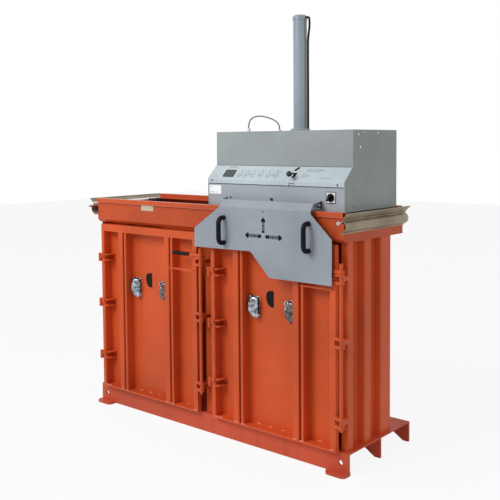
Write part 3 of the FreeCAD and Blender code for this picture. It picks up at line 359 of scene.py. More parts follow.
def powder_coat(name, tone, worn_and_highlight, roughness=0.42, wear_and_highlight=0.55, smudge=0.1, edge=0.0014,
                sheen=0.3, zone=None, broken_at=(0.46, 0.62)):
    """Coated sheet steel. A zone is two (axis, low, high) in metres and a colour."""
    b = Bench(name)
    b.skin.inputs["Specular IOR Level"].default_value = sheen
    base = b.mix(b.ramp(b.cloud(2.3, 4), 0.35, 0.65), toned(tone, 0.86), toned(tone, 1.10))
    streaks = b.ramp(b.cloud(6, 5, (3, 3, 0.35)), 0.55, 0.8, 0, smudge * 2)
    base = b.mix(streaks, base, toned(tone, 0.62))
    # Lighter edges, broken up by noise: rubbed paint, and also a painted highlight.
    broken = b.ramp(b.cloud(55, 5), *broken_at)
    rubbed_and_highlit = b.times(b.times(b.edges(edge), broken), wear_and_highlight)
    base = b.mix(rubbed_and_highlit, base, worn_and_highlight)
    if zone:
        base = b.mix(b.times(b.within(*zone[0]), b.within(*zone[1])), base, zone[2])
    b.join(base, b.skin.inputs["Base Color"])
    gloss = b.ramp(b.cloud(9, 4), 0.3, 0.7, roughness - 0.07, roughness + 0.09)
    b.join(gloss, b.skin.inputs["Roughness"])
    b.bump(b.cloud(PEEL, 2), 0.16, 0.0004)
    return b.material


coats = {
    "orange_paint": powder_coat("orange_coat", shade(207, 84, 36), shade(228, 138, 98),
                                smudge=0.14),
    "base_paint": powder_coat("base_coat", shade(204, 85, 55), shade(160, 100, 76),
                              roughness=0.5, smudge=0.24),
    "head_paint": powder_coat("head_coat", shade(153, 159, 161), shade(190, 194, 194),
                              roughness=0.48, wear_and_highlight=0.25, smudge=0.04),
    "panel_paint": powder_coat("panel_coat", shade(190, 202, 206), shade(226, 230, 230),
                               roughness=0.4, wear_and_highlight=0.3, smudge=0.03),
    "guard_paint": powder_coat("guard_coat", shade(149, 157, 165), shade(214, 219, 222),
                               roughness=0.44, wear_and_highlight=0.6, smudge=0.07, edge=0.002),
    "mast_paint": powder_coat("mast_coat", shade(146, 160, 172), shade(190, 196, 200),
                              roughness=0.2, wear_and_highlight=0.2, smudge=0.05, sheen=0.6),
}
print(len(coats), "coats of paint")

# %% [markdown]
# ## Steel that isn't painted
# The aprons at both ends are bent from plain sheet and carry the long scratches of use: noise
# squeezed along one axis draws them. Their inner side is lighter, nearly white, up to the hem.
# Both sides belong to one sheet, so the way that a face looks tells them apart: towards the middle
# of the machine or away from it. Plated parts, such as the strap ratchets and bolts, are nearly
# mirrors with a mist in tone and roughness. On the bolts it is faint; on the ratchets its dark
# patches are deep, a painted reflection of dark surroundings.

# %% Bare and plated steel
HEM = 0.812  # metres from the middle, where an apron's hem begins
LOOKS_INWARDS = -0.08  # below this, X times the normal's X belongs to an inner side


def bare_sheet(name, tone, stain, along, roughness, inner):
    """Rolled sheet with fine lines along one axis and broad stains; its inner side is lighter."""
    b = Bench(name)
    b.skin.inputs["Metallic"].default_value = 0.7
    squeeze = [26, 26, 26]
    squeeze["xyz".index(along)] = 0.7
    lines = b.cloud(26, 6, tuple(squeeze), 0.7)
    stains = b.ramp(b.cloud(5, 5), 0.38, 0.66)
    base = b.mix(stains, tone, stain)
    base = b.mix(b.ramp(lines, 0.4, 0.7, 0, 0.35), base, toned(tone, 1.35))
    here, looks = b.add("SeparateXYZ"), b.add("SeparateXYZ")
    b.join(b.place, here.inputs[0])
    b.join(b.add("NewGeometry").outputs["Normal"], looks.inputs[0])
    away = b.times(here.outputs["X"], looks.outputs["X"])
    inwards = b.times(away, LOOKS_INWARDS, "LESS_THAN")
    reach = b.times(here.outputs["X"], here.outputs["X"])
    before_hem = b.times(reach, HEM ** 2, "LESS_THAN")
    base = b.mix(b.times(inwards, before_hem), base, inner)
    b.join(base, b.skin.inputs["Base Color"])
    gloss = b.ramp(lines, 0.3, 0.7, roughness - 0.08, roughness + 0.12)
    b.join(gloss, b.skin.inputs["Roughness"])
    b.bump(lines, 0.12, 0.0003)
    return b.material


def plated(name, tone, roughness, dark=0.8, blobs=60):
    """Zinc or chrome plate with a mist of darker patches and small dents; deep patches are a
    painted reflection.
    """
    b = Bench(name)
    b.skin.inputs["Metallic"].default_value = 1.0
    mist_and_reflection = b.cloud(blobs, 4)
    base = b.mix(b.ramp(mist_and_reflection, 0.42, 0.6), tone, toned(tone, dark))
    b.join(base, b.skin.inputs["Base Color"])
    gloss = b.ramp(mist_and_reflection, 0.3, 0.7, roughness * 0.6, roughness * 1.6)
    b.join(gloss, b.skin.inputs["Roughness"])
    b.bump(b.cloud(180, 3), 0.1, 0.0003)
    return b.material


coats["apron_steel"] = bare_sheet("rolled_sheet", shade(158, 146, 126), shade(118, 104, 86),
                                  "y", 0.42, shade(232, 230, 226))
coats["bare_steel"] = plated("zinc_plate", shade(205, 205, 202), 0.26)
# Deep dark patches in the ratchets' bright plate: a painted reflection.
coats["chrome"] = plated("bright_plate", shade(232, 232, 233), 0.16, 0.2, 85)
# The grips carry deep patches, a painted reflection; the second ratchet's grip is a darker copy of
# the same plate, a painted darker reflection.
lever_plates = {1: plated("lever_plate", shade(184, 188, 200), 0.26, 0.3),
                2: plated("lever_plate_darker_reflection", shade(120, 114, 114), 0.26, 0.3)}
coats["dark_steel"] = powder_coat("dark_coat", shade(36, 36, 38), shade(96, 96, 95),
                                  roughness=0.5, smudge=0.1)
print(len(coats), "finishes")

# %% [markdown]
# ## Plastic, rubber and ink
# Handles, knob and the lever's ball are black, but not the same black: handles and knob are
# grained nylon, the ball is polished. The cable's sheath is a dull grey, the glands and the
# switch plate are white. All of them are one recipe, a mottled tone and a grained skin, which
# also serves for printed ink and for the black sheets of painted shade in holes, slots and seams.

# %% Plastics
FINE_DEPTH = 0.00005  # metres, grain of polished plastic, labels and ink


def moulded(name, tone, roughness, grain=1400, depth=0.00025, cloudy=0.2, sheen=0.5):
    """Moulded plastic or rubber with a grained skin."""
    b = Bench(name)
    b.skin.inputs["Specular IOR Level"].default_value = sheen
    patch = b.ramp(b.cloud(14, 4), 0.35, 0.7)
    base = b.mix(patch, tone, toned(tone, 1 + cloudy, 0.004))
    b.join(base, b.skin.inputs["Base Color"])
    gloss = b.ramp(b.cloud(40, 3), 0.3, 0.7, roughness * 0.85, roughness * 1.15)
    b.join(gloss, b.skin.inputs["Roughness"])
    b.bump(b.cloud(grain, 2), 0.2, depth)
    return b.material


coats["black_plastic"] = moulded("grained_black", shade(12, 12, 13), 0.36, sheen=0.12)
coats["gloss_black"] = moulded("polished_black", shade(12, 12, 14), 0.12, 300, FINE_DEPTH)
coats["cable_rubber"] = moulded("cable_sheath", shade(104, 102, 100), 0.5)
coats["white_plastic"] = moulded("white_nylon", shade(240, 243, 248), 0.4, cloudy=-0.05)
coats["roller_nylon"] = moulded("roller_nylon", shade(214, 212, 202), 0.5, cloudy=-0.1)
coats["plate_blank"] = moulded("blank_label", shade(226, 226, 220), 0.35, 200, FINE_DEPTH, -0.07)
# Black ink prints the arrows and the switch's frame, and also draws painted shade: the eyes'
# holes, the lever's gate, the seam and the notch.
ink_and_shade = moulded("black_ink_and_shade", shade(10, 10, 12), 0.5, 500, FINE_DEPTH, sheen=0.1)
grey_ink = moulded("grey_ink", shade(112, 118, 122), 0.45, 500, FINE_DEPTH)
print(len(coats), "finishes in all")

# %% [markdown]
# Every solid already names the slot that it takes its finish from. One loop hands the finished
# materials over, without touching a mesh. Some pieces are worn or toned unlike the rest of
# their slot: the rim and the doors, whose light edges are painted highlights as well as rubbed
# paint, the hopper, and a few small plates and covers.

# %% Hand the finishes to the solids
DARK = shade(52, 53, 55)
LUG = (("Y", -0.3, -0.1985), ("X", 0.6, 0.9))  # metres, round the lower cover's right lug

slot_of = {part["node"]: part["material_slot"] for part in frame["record"]["subparts"]}
special = {
    "rim_plate": moulded("beige_plate", shade(196, 182, 160), 0.4, 300, FINE_DEPTH, -0.1),
    "label_plate": moulded("white_label", shade(246, 249, 254), 0.35, 200, FINE_DEPTH, -0.03),
    # The rim's light, nearly unbroken edges: painted highlights, and paint rubbed off.
    "hopper_rims": powder_coat("rim_coat_highlit", shade(196, 80, 36), shade(246, 178, 148),
                               wear_and_highlight=0.85, smudge=0.2, edge=0.0026, broken_at=(0.32, 0.52)),
    "lower_cover": powder_coat("lower_cover_coat", shade(164, 172, 178), shade(200, 204, 205),
                               roughness=0.46, wear_and_highlight=0.3, smudge=0.04, zone=(*LUG, DARK)),
    "guard_pin_rod": coats["guard_paint"],
    "hopper": powder_coat("hopper_coat", shade(186, 74, 32), shade(232, 150, 116),
                          wear_and_highlight=0.7, smudge=0.25, edge=0.002),
}
# The doors' light edges are painted highlights as well as rubbed paint.
door_coat_highlit = powder_coat("door_coat_highlit", shade(206, 83, 37), shade(240, 150, 112),
                        wear_and_highlight=0.7, smudge=0.16, edge=0.0018, broken_at=(0.36, 0.58))
for word, pin in PINS:
    for part in ("door_frame", "door_panels", "hinge_straps", "latch_brackets"):
        special[word + "_" + part] = door_coat_highlit
for name, node in solid.items():
    finish = special.get(name) or coats[slot_of[name]]
    if not node.material_slots:
        node.data.materials.append(finish)
    for place in node.material_slots:
        place.material = finish
cable.data.materials.append(coats["cable_rubber"])
print("dressed", len(solid), "solids")

# %% [markdown]
# ## Making small parts
# Most small parts are a plate cut to an outline, or a part turned on a lathe. One helper for each
# keeps the rest of the lesson short, and one more finishes a piece: it gives it a material and a
# body to ride on. Where an edge catches the light, a bevel modifier breaks it, because no real
# edge is a knife.

# %% Finish a piece
SHARP = math.radians(35)  # edges that turn more than this are broken


def piece(name, mesh, body, finish, break_edge=0.0, smooth=True, stands_for=()):
    """A finished piece that rides on a body."""
    thing = bpy.data.objects.new(name, mesh)
    bpy.context.scene.collection.objects.link(thing)
    mesh.materials.append(finish)
    for face in mesh.polygons:
        face.use_smooth = smooth
    if break_edge:
        rounding = thing.modifiers.new("rounding", "BEVEL")
        rounding.width, rounding.segments, rounding.limit_method = break_edge, 2, "ANGLE"
        rounding.angle_limit = SHARP
        rounding.harden_normals = True
    if stands_for:
        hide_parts(*stands_for)
    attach(thing, body)
    return thing


def facing(place, out, up=(0, 0, 1)):
    """A 4x4 whose Z looks outwards, Y up, at a place."""
    z = Vector(out).normalized()
    x = Vector(up).cross(z).normalized()
    y = z.cross(x)
    return Matrix.Translation(place) @ Matrix((x, y, z)).transposed().to_4x4()


def face_x(place):
    """On a front face: u to the right, v up, thickness towards the viewer."""
    return facing(place, (0, -1, 0))


def front_plane(y):
    """The same, with u and v read as the drawing's X and Z."""
    return face_x(spot(0, y, 0))


print("front faces look along", tuple(face_x(Vector((0, 0, 0))).col[2][:3]))

# %% [markdown]
# BMesh builds a mesh point by point and face by face. Both helpers draw in millimetres and put
# each point in place through a 4x4, so a part can be drawn flat and still sit on a slope.

# %% Plate and turned part
def joined_mesh(name, meshes):
    """Several meshes as one."""
    b = bmesh.new()
    for m in meshes:
        b.from_mesh(m)
    mesh = bpy.data.meshes.new(name)
    b.to_mesh(mesh)
    b.free()
    return mesh


def closed_mesh(name, b):
    """The built points and faces as a mesh whose faces look outwards."""
    bmesh.ops.recalc_face_normals(b, faces=b.faces)
    mesh = bpy.data.meshes.new(name)
    b.to_mesh(mesh)
    b.free()
    return mesh


def bands(b, rings):
    """Faces between rings that have the same number of points."""
    for low, high in zip(rings, rings[1:]):
        n = len(low)
        for k in range(n):
            b.faces.new((low[k], low[(k + 1) % n], high[(k + 1) % n], high[k]))


def plate_mesh(name, outlines, thickness, turn):
    """Outlines in millimetres, made thick and set in place by a 4x4."""
    b = bmesh.new()
    for outline in outlines:
        low, high = ([b.verts.new(turn @ Vector((u / MM, v / MM, w / MM))) for u, v in outline]
                     for w in (0, thickness))
        b.faces.new(low[::-1])
        b.faces.new(high)
        bands(b, (low, high))
    return closed_mesh(name, b)


def turned_mesh(name, profile, turn, around=32):
    """A profile of (radius, height) in millimetres, spun about its own Z."""
    b = bmesh.new()
    rings = []
    for radius, height in profile:
        ring = []
        for k in range(around if radius > 0.01 else 1):
            a = 2 * math.pi * k / around
            point = (radius * math.cos(a) / MM, radius * math.sin(a) / MM, height / MM)
            ring.append(b.verts.new(turn @ Vector(point)))
        rings.append(ring)
    for low, high in zip(rings, rings[1:]):
        for k in range(around):
            four = (low[k % len(low)], low[(k + 1) % len(low)],
                    high[(k + 1) % len(high)], high[k % len(high)])
            corners = [v for i, v in enumerate(four) if v not in four[:i]]
            if len(corners) > 2:
                b.faces.new(corners)
    for ring, flip in ((rings[0], True), (rings[-1], False)):
        if len(ring) > 1:
            b.faces.new(ring[::-1] if flip else ring)
    return closed_mesh(name, b)


def cut_sheet(name, outlines, thickness, turn, body, finish, stands_for=()):
    """A flat piece with sharp edges, such as ink or thin sheet."""
    mesh = plate_mesh(name, outlines, thickness, turn)
    return piece(name, mesh, body, finish, smooth=False, stands_for=stands_for)


trial = turned_mesh("trial", [(9, 0), (9, 2)], Matrix())
print("a turned disc has", len(trial.polygons), "faces")
bpy.data.meshes.remove(trial)

# %% [markdown]
# ## Guard: arrows and handles
# The grey guard carries three printed arrows that show which way the head travels and the guard
# opens. They could be an image on the plate; cut as thin plates just proud of the paint, they
# stay crisp and need none. One arrow is drawn along +u and turned.

# %% Arrows on the guard
ARROWS_MIDDLE = (395, 998)
ARROW_HEAD = 22  # its length and the width that all else follows


def dashed_arrow(tip, cuts):
    """Outlines of an arrow along +u: a head and a shaft in pieces."""
    size = ARROW_HEAD
    half = size * 0.34
    shapes = [[(tip, 0), (tip - size * 0.7, size * 0.62), (tip - size, size * 0.4),
               (tip - size, -size * 0.4), (tip - size * 0.7, -size * 0.62)]]
    shapes += [[(a, -half), (b, -half), (b, half), (a, half)] for a, b in cuts]
    return shapes


def turned_outline(shapes, angle, middle):
    """Shapes turned by degrees about their zero, which then goes to the middle."""
    c, s = math.cos(math.radians(angle)), math.sin(math.radians(angle))
    return [[(middle[0] + u * c - v * s, middle[1] + u * s + v * c) for u, v in shape]
            for shape in shapes]


side_cuts = [(12, 35), (39, 45), (48, 54), (57, 62), (65, 70), (73, 77), (80, 84)]
up_cuts = [(16, 28), (31, 36), (39, 44), (47, 52), (55, 59), (62, 65)]
marks = []
for angle, tip, cuts in ((0, 107, side_cuts), (180, 107, side_cuts), (90, 86, up_cuts)):
    marks += turned_outline(dashed_arrow(tip, cuts), angle, ARROWS_MIDDLE)
arrows = cut_sheet("guard_arrows", marks, 0.25, front_plane(GUARD_FRONT), "guard", ink_and_shade)
print("arrows have", len(arrows.data.polygons), "faces")

# %% [markdown]
# The two handles are bent nylon bars. A curve with a bevel would do, but a mesh swept by hand
# keeps the ends flat on the guard: a ring of points walks along a line with two bends.

# %% Guard handles
HALF_BAR = 11.0  # half of a handle's thickness
HANDLE_DEPTH = 50  # from the guard to a handle's outer face
HANDLE_ENDS = (943, 1081)  # Z of a handle's lower and upper end
BEND = 26  # radius of the bends


def bent_bar(name, path, side, steps=8, around=16):
    """A round bar along a path in the YZ plane, with round bends; side is its X."""
    line = [Vector(path[0])]
    for before, corner, after in zip(path, path[1:], path[2:]):
        p, c, n = Vector(before), Vector(corner), Vector(after)
        a, d = (p - c).normalized(), (n - c).normalized()
        for k in range(steps + 1):
            t = k / steps
            line.append((c + a * BEND) * (1 - t) ** 2 + c * 2 * t * (1 - t)
                        + (c + d * BEND) * t ** 2)
    line.append(Vector(path[-1]))
    b = bmesh.new()
    rings = []
    for i, p in enumerate(line):
        along = (line[min(i + 1, len(line) - 1)] - line[max(i - 1, 0)]).normalized()
        across = Vector((1, 0, 0))
        third = along.cross(across)
        ring = []
        for k in range(around):
            a = 2 * math.pi * k / around
            q = p + across * HALF_BAR * math.cos(a) + third * HALF_BAR * math.sin(a)
            ring.append(b.verts.new(spot(side + q.x, q.y, q.z)))
        rings.append(ring)
    bands(b, rings)
    b.faces.new(rings[0])
    b.faces.new(rings[-1])
    return closed_mesh(name, b)


handle_low, handle_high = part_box("guard_handles")
reach = GUARD_FRONT - HANDLE_DEPTH + HALF_BAR
foot, top = HANDLE_ENDS[0] + HALF_BAR, HANDLE_ENDS[1] - HALF_BAR
path = [(0, GUARD_FRONT, foot), (0, reach, foot), (0, reach, top), (0, GUARD_FRONT, top)]
for word, side in (("left", 161), ("right", 644)):
    mesh = bent_bar(word + "_guard_handle", path, side)
    piece(word + "_guard_handle", mesh, "guard", coats["black_plastic"],
          stands_for=("guard_handles",) if word == "left" else ())
print("handles reach", round((handle_high.y - handle_low.y) * MM), "mm")

# %% [markdown]
# ## Strap ratchets
# Each door holds two ratchets that tighten the baling straps. Such a ratchet is a stamped base
# with an ear, a toothed wheel on a slim spool, a ribbed roll at its left, and a lever with a
# broad grip. Three shapes need helpers first: the wheel, a box with round corners, and a domed
# plate, because a stamped grip is never flat.

# %% Wheel, soft box and domed plate
def wheel_outline(u, v, radius, teeth):
    """A toothed wheel about u, v, as an outline."""
    shape = []
    for k in range(teeth):
        a = 2 * math.pi * k / teeth
        for grow, turn in ((1.0, 0), (1.0, 0.35), (0.8, 0.5), (0.8, 0.9)):
            t = a + 2 * math.pi * turn / teeth
            shape.append((u + radius * grow * math.cos(t), v + radius * grow * math.sin(t)))
    return shape


def soft_box(u0, u1, v0, v1, r, steps=5):
    """A rectangle with round corners, as an outline."""
    shape = []
    for cu, cv, start in ((u1 - r, v1 - r, 0), (u0 + r, v1 - r, 90),
                          (u0 + r, v0 + r, 180), (u1 - r, v0 + r, 270)):
        for k in range(steps + 1):
            a = math.radians(start + 90 * k / steps)
            shape.append((cu + r * math.cos(a), cv + r * math.sin(a)))
    return shape


def crowned(name, outline, middle, steps, turn):
    """A domed plate: the outline shrinks towards its middle while it rises, step by step."""
    b = bmesh.new()
    rings = []
    for share, height in [(1, 0)] + steps:
        ring = []
        for u, v in outline:
            point = ((middle[0] + (u - middle[0]) * share) / MM,
                     (middle[1] + (v - middle[1]) * share) / MM, height / MM)
            ring.append(b.verts.new(turn @ Vector(point)))
        rings.append(ring)
    bands(b, rings)
    b.faces.new(rings[0][::-1])
    b.faces.new(rings[-1])
    return closed_mesh(name, b)


def side_face(place):
    """On a face that looks along +X: u to the back, v up."""
    return facing(place, (1, 0, 0))


print("a wheel of 11 teeth has", len(wheel_outline(0, 0, 9, 11)), "points")

# %% [markdown]
# The base lies on the floor of the door's recess, and all else stands on it. The eye at the upper
# left is a raised ring at the roll's end. Its profile ends where it begins, and turned_mesh caps
# both ends, so two discs lie on one another across its hole and hide the black disc of painted
# shade behind them: a small fault that is left. Wheel and spool stand still, so the whole body is
# one mesh.

# %% Ratchet body
RATCHETS = ((1, 243), (2, 458))  # number, and its middle to the right of the door's pin
RATCHET_Z = 663  # its middle's height
AXLE = RATCHET_Z + 30  # the lever's axle


def ratchet_body(x):
    """Base, ear, wheel, spool, the ribbed roll at the left and the eye; x is the middle."""
    z = RATCHET_Z
    base = [(x + 24, z + 44), (x + 28, z + 40), (x + 28, z - 40), (x + 25, z - 46),
            (x + 16, z - 48), (x - 24, z - 22), (x - 33, z - 12), (x - 33, z + 36),
            (x - 26, z + 48), (x - 4, z + 48)]
    ear = [(47, z - 20), (47, z + 46), (34, z + 44), (27, z + 38), (24, z + 30), (26, z + 14),
           (38, z - 4)]
    spool = [(0, 0), (3.5, 0), (4.5, 1), (4.5, 21), (3.5, 22), (0, 22)]
    ribs = [(r, -14 + 5 * k + d) for k in range(7) for r, d in ((11.5, 0), (12.5, 1.6), (9.5, 4))]
    roll = [(0, -16), (8, -16)] + ribs + [(7, 21), (0, 21)]
    eye = [(7, 0), (12.5, 0), (13, 3), (12, 6), (7.6, 6.5), (7, 0)]
    across = facing(spot(x - 12, 27 + DOOR, AXLE), (1, 0, 0))
    upright = facing(spot(x - 20, 34 + DOOR, z), (0, 0, 1), (0, 1, 0))
    return joined_mesh("ratchet_body", [
        plate_mesh("base", [base], 3, front_plane(RECESS)),
        plate_mesh("ear", [ear], 3, side_face(spot(x - 12, DOOR, 0))),
        plate_mesh("wheel", [wheel_outline(28, AXLE, 9, 11)], 2.5,
                   side_face(spot(x + 6, DOOR, 0))),
        turned_mesh("spool", spool, across, 20),
        turned_mesh("roll", roll, upright, 24),
        turned_mesh("eye", eye, face_x(spot(x - 20, 38 + DOOR, z + 34)), 24)])


print("ratchets stand", RATCHETS[1][1] - RATCHETS[0][1], "mm apart")

# %% [markdown]
# The lever turns about the axle while the body stays on the door, so it is a piece of its own on
# a body of its own. Its grip looks a little to the right and narrows towards its lower right; at
# its upper left it leaves room for the ear, which it would meet when the lever swings up.

# %% Ratchet levers
def ratchet_lever(x):
    """A cheek, the crowned grip plate and its three rivets; x is the ratchet's middle."""
    cheek = [(27, AXLE + 9), (40, AXLE + 9), (44, AXLE + 5), (44, AXLE - 58), (38, AXLE - 74),
             (30, AXLE - 78), (27, AXLE - 70)]
    grip = [(43, 12), (48.5, 7), (50, -36), (50, -76), (45, -83), (32, -83), (20, -74), (5, -58),
            (0, -42), (1, -25), (10, -13), (10.5, 4), (15, 10), (23, 13)]
    dome = [(0.98, 1.6), (0.9, 3.4), (0.72, 4.8), (0.4, 5.6)]
    plane = facing(spot(x - 15, 15 + DOOR, AXLE), (0.32, -1, 0))
    parts = [plate_mesh("cheek", [cheek], 3, side_face(spot(x + 12, DOOR, 0))),
             crowned("grip", grip, (26, -34), dome, plane)]
    for u, v, lift, radius in ((27, -30, 5.2, 5.5), (44, 5, 1.4, 4.4), (44, -76, 1.4, 4.4)):
        at = plane @ Matrix.Translation((u / MM, v / MM, lift / MM))
        rivet = [(0, 0), (radius, 0), (radius * 0.8, 1.6), (0, 2.1)]
        parts.append(turned_mesh("rivet", rivet, at, 16))
    return joined_mesh("ratchet_lever", parts)


FINE_EDGE = 0.0006  # metres
for word, pin in PINS:
    bodies = joined_mesh(word + "_ratchets", [ratchet_body(pin + x) for k, x in RATCHETS])
    piece(word + "_ratchets", bodies, word + "_door", coats["chrome"], FINE_EDGE,
          stands_for=(word + "_buckles",))
    for k, x in RATCHETS:
        piece(f"{word}_ratchet_lever_{k}", ratchet_lever(pin + x), f"{word}_ratchet_{k}",
              lever_plates[k], FINE_EDGE, stands_for=(f"{word}_buckle_lever_{k}",))
        # A black disc behind the eye stands for the shade in its hole: painted shade.
        hole_shade = turned_mesh("eye_hole_shade", [(0, 0), (8, 0), (8, 1.5), (0, 1.5)],
                           face_x(spot(pin + x - 20, 40 + DOOR, 697)), 20)
        piece(f"{word}_ratchet_eye_shade_{k}", hole_shade, word + "_door", ink_and_shade)
print(len(PINS) * len(RATCHETS), "ratchets")

# %% [markdown]
# ## Windows, weld beads and latch grips
# Between the ratchets a black plastic insert closes the hole for the hand. It has a straight
# right edge and a bulging left one, so its outline is drawn from shares of its width and height.

# %% Windows
BULGE = ((0.2, 0.5), (-0.1, 0.48), (-0.34, 0.4), (-0.46, 0.28), (-0.5, 0.14), (-0.48, -0.02),
         (-0.40, -0.18), (-0.26, -0.33), (-0.06, -0.45), (0.14, -0.5))  # of width and height


def window_outline(u, v, wide, high):
    """A straight right edge, and a left one that bulges high up and tapers to the lower right."""
    shape = [(u + wide / 2, v - high / 2), (u + wide / 2, v + high / 2)]
    return shape + [(u + wide * across, v + high * up) for across, up in BULGE]


for word, pin in PINS:
    outline = window_outline(pin + 331, 704, 42, 74)
    mesh = plate_mesh(word + "_window_insert", [outline], 4, front_plane(RECESS))
    piece(word + "_window_insert", mesh, word + "_door", coats["black_plastic"],
          0.0015, stands_for=(word + "_window",))
print(len(PINS), "windows")

# %% [markdown]
# Short weld beads hold the folded panels to the low rail. They stand proud, and their coat is
# lighter than the door's, with near white edges: painted highlights of their glints, as well as
# paint rubbed thin. Each bead is a small domed plate, either at the rail's front edge or down in
# a recess.

# %% Weld beads at the doors' feet
BEADS_Z = 108.5
FRONT_BEADS = (36, 66, 163, 207, 507, 546, 705)  # right of the door's pin
BEADS = sorted([(u, DOOR) for u in FRONT_BEADS]
               + [(u, RECESS - 0.1) for u in (112, 262, 330, 402, 468, 610, 668)])
# Lighter orange with near white edges: painted highlights on the beads.
bead_highlight_coat = powder_coat("bead_highlight_coat", shade(226, 122, 84), shade(250, 214, 196),
                        roughness=0.34, wear_and_highlight=0.9, smudge=0.1, edge=0.003)
for word, pin in PINS:
    beads = [crowned("bead", soft_box(-12, 12, -2.9, 2.9, 2.6), (0, 0), [(0.9, 1.3), (0.6, 2.1)],
                     face_x(spot(pin + u, y, BEADS_Z))) for u, y in BEADS]
    piece(word + "_weld_beads", joined_mesh(word + "_weld_beads", beads), word + "_door",
          bead_highlight_coat)
print(len(PINS) * len(BEADS), "beads")

# %% [markdown]
# The latch lever ends in a soft black grip with rings that stop the hand from slipping. A grip
# is a turned part, and nine rings are nine repeats in its profile.

# %% Latch grips
grip_profile = [(0, 0), (7, 0), (9.4, 2), (9.4, 7), (8.4, 9)]
for k in range(9):
    a = 12 + k * 10
    grip_profile += [(8.2, a), (9.6, a + 2), (9.6, a + 6), (8.2, a + 8)]
grip_profile += [(8.0, 104), (9.8, 106), (9.8, 111), (8, 113), (0, 113)]
LATCH = 758  # the latch rod, right of the door's pin
GRIP_START = LATCH - 71
for word, pin in PINS:
    turn = facing(spot(pin + GRIP_START, -10 + DOOR, 877), (-1, 0, 0))
    mesh = turned_mesh(word + "_grip_cover", grip_profile, turn, 24)
    piece(word + "_grip_cover", mesh, word + "_latch", coats["black_plastic"],
          stands_for=(word + "_latch_grip",))
print("grips of", len(grip_profile), "steps")

# %% [markdown]
# ## Controls
# The sloping panel carries a small dark display, the lever with its black ball and a few faint
# pictograms. All of them are easier to draw flat, so the slope gets a frame of its own: X to the
# right, RISE up along the sheet, SQUARE out of it.

# %% Frame of the slope
SLOPE_FOOT = 1245  # Z of the slope's lower edge
RISE = Vector((0, 64, 63)).normalized()
SQUARE = Vector((0, -RISE.z, RISE.y))


def slope_face(out=0.0):
    """A 4x4 that draws on the slope, or out from it: u to the right, v up from its foot."""
    place = spot(0, HEAD_FRONT + SQUARE.y * out, SLOPE_FOOT + SQUARE.z * out)
    axes = Matrix((Vector((1, 0, 0)), RISE, SQUARE)).transposed().to_4x4()
    return Matrix.Translation(place) @ axes


print("the slope is", round(math.degrees(math.atan2(RISE.z, RISE.y))), "degrees steep")

# %% [markdown]
# The lever's ball is turned from a real circle, so that its highlight is round. Stem and ball
# share one profile; the boss across them is the pivot that the lever tilts about.

# %% Lever with its ball
STEM = 3.5  # radius
BALL = 13  # radius
BALL_START = 23  # from the pivot


def ball_profile(low, radius, steps=14):
    """The ball's outline from its seat on the stem to its top."""
    start = math.asin(STEM / radius)
    angles = [math.pi - start - (math.pi - start) * k / steps for k in range(steps + 1)]
    return [(radius * math.sin(a), low + radius + radius * math.cos(a)) for a in angles]


ball = [(0, -12), (STEM, -12)] + ball_profile(BALL_START, BALL)
ball[-1] = (0, BALL_START + 2 * BALL)
pivot = spot(497, 29.87, 1276.63)
stem = turned_mesh("stem", ball, facing(pivot, (0.14, -1, 0)), 28)
boss = turned_mesh("boss", [(0, -8.2), (2.5, -8.2), (2.5, -4), (4, -4),
                            (4, 4), (2.5, 4), (2.5, 8.2), (0, 8.2)], side_face(pivot), 20)
piece("ball_lever", joined_mesh("ball_lever", [stem, boss]), "control_lever",
      coats["gloss_black"], stands_for=("operating_lever",))
print("lever reaches", ball[-1][1], "mm")

# %% [markdown]
# The panel's pictograms are plain boxes, arrows and bars. Each is a set of line segments, and
# one helper gives every segment a width. The lever leaves the panel through a gate with two
# round ends; a thin sheet of black ink fills it, a painted shade of the openings.

# %% Pictograms and gate of the panel
STROKE = 2.0  # width of a pictogram's lines


def strokes(lines, wide):
    """Thin bars along line segments, as outlines."""
    shapes = []
    for (a, b), (c, d) in lines:
        length = math.hypot(c - a, d - b)
        nx, ny = -(d - b) / length * wide / 2, (c - a) / length * wide / 2
        shapes.append([(a - nx, b - ny), (c - nx, d - ny), (c + nx, d + ny), (a + nx, b + ny)])
    return shapes


def box_lines(u, v, w, h):
    """The four sides of a box from its lower left corner."""
    c = [(u, v), (u + w, v), (u + w, v + h), (u, v + h)]
    return [(c[i], c[(i + 1) % 4]) for i in range(4)]


def arrow_lines(u, v, du, dv):
    """A shaft from u, v and the two barbs at its tip."""
    tip = (u + du, v + dv)
    back = Vector((-du, -dv)).normalized() * 6
    side = Vector((-back.y, back.x)) * 0.6
    return [((u, v), tip), (tip, (tip[0] + back.x + side.x, tip[1] + back.y + side.y)),
            (tip, (tip[0] + back.x - side.x, tip[1] + back.y - side.y))]


signs = []
for k, u in enumerate((172, 210, 250, 296, 340, 384)):
    odd = k % 2
    signs += box_lines(u, 22 + 4 * odd, 22, 18)
    signs += arrow_lines(u + 12, 64 - 18 * odd, 0, 18 if odd else -16)
    signs += [((u + 3, 16), (u + 21, 16)), ((u + 26, 50), (u + 33, 62)),
              ((u + 4, 30), (u + 18, 30))]
    if k % 3 == 1:
        signs += arrow_lines(u + 26, 34, 12, 0)
for u, v in ((546, 26), (560, 58), (606, 60)):
    signs += box_lines(u, v, 18, 13)
    signs += arrow_lines(u + 22, v + 6, 14, 0)
signs += [((96, 72), (150, 72)), ((92, 78), (146, 78)), ((650, 20), (700, 20))]
cut_sheet("panel_signs", strokes(signs, STROKE), 0.25, slope_face(), "head", grey_ink)
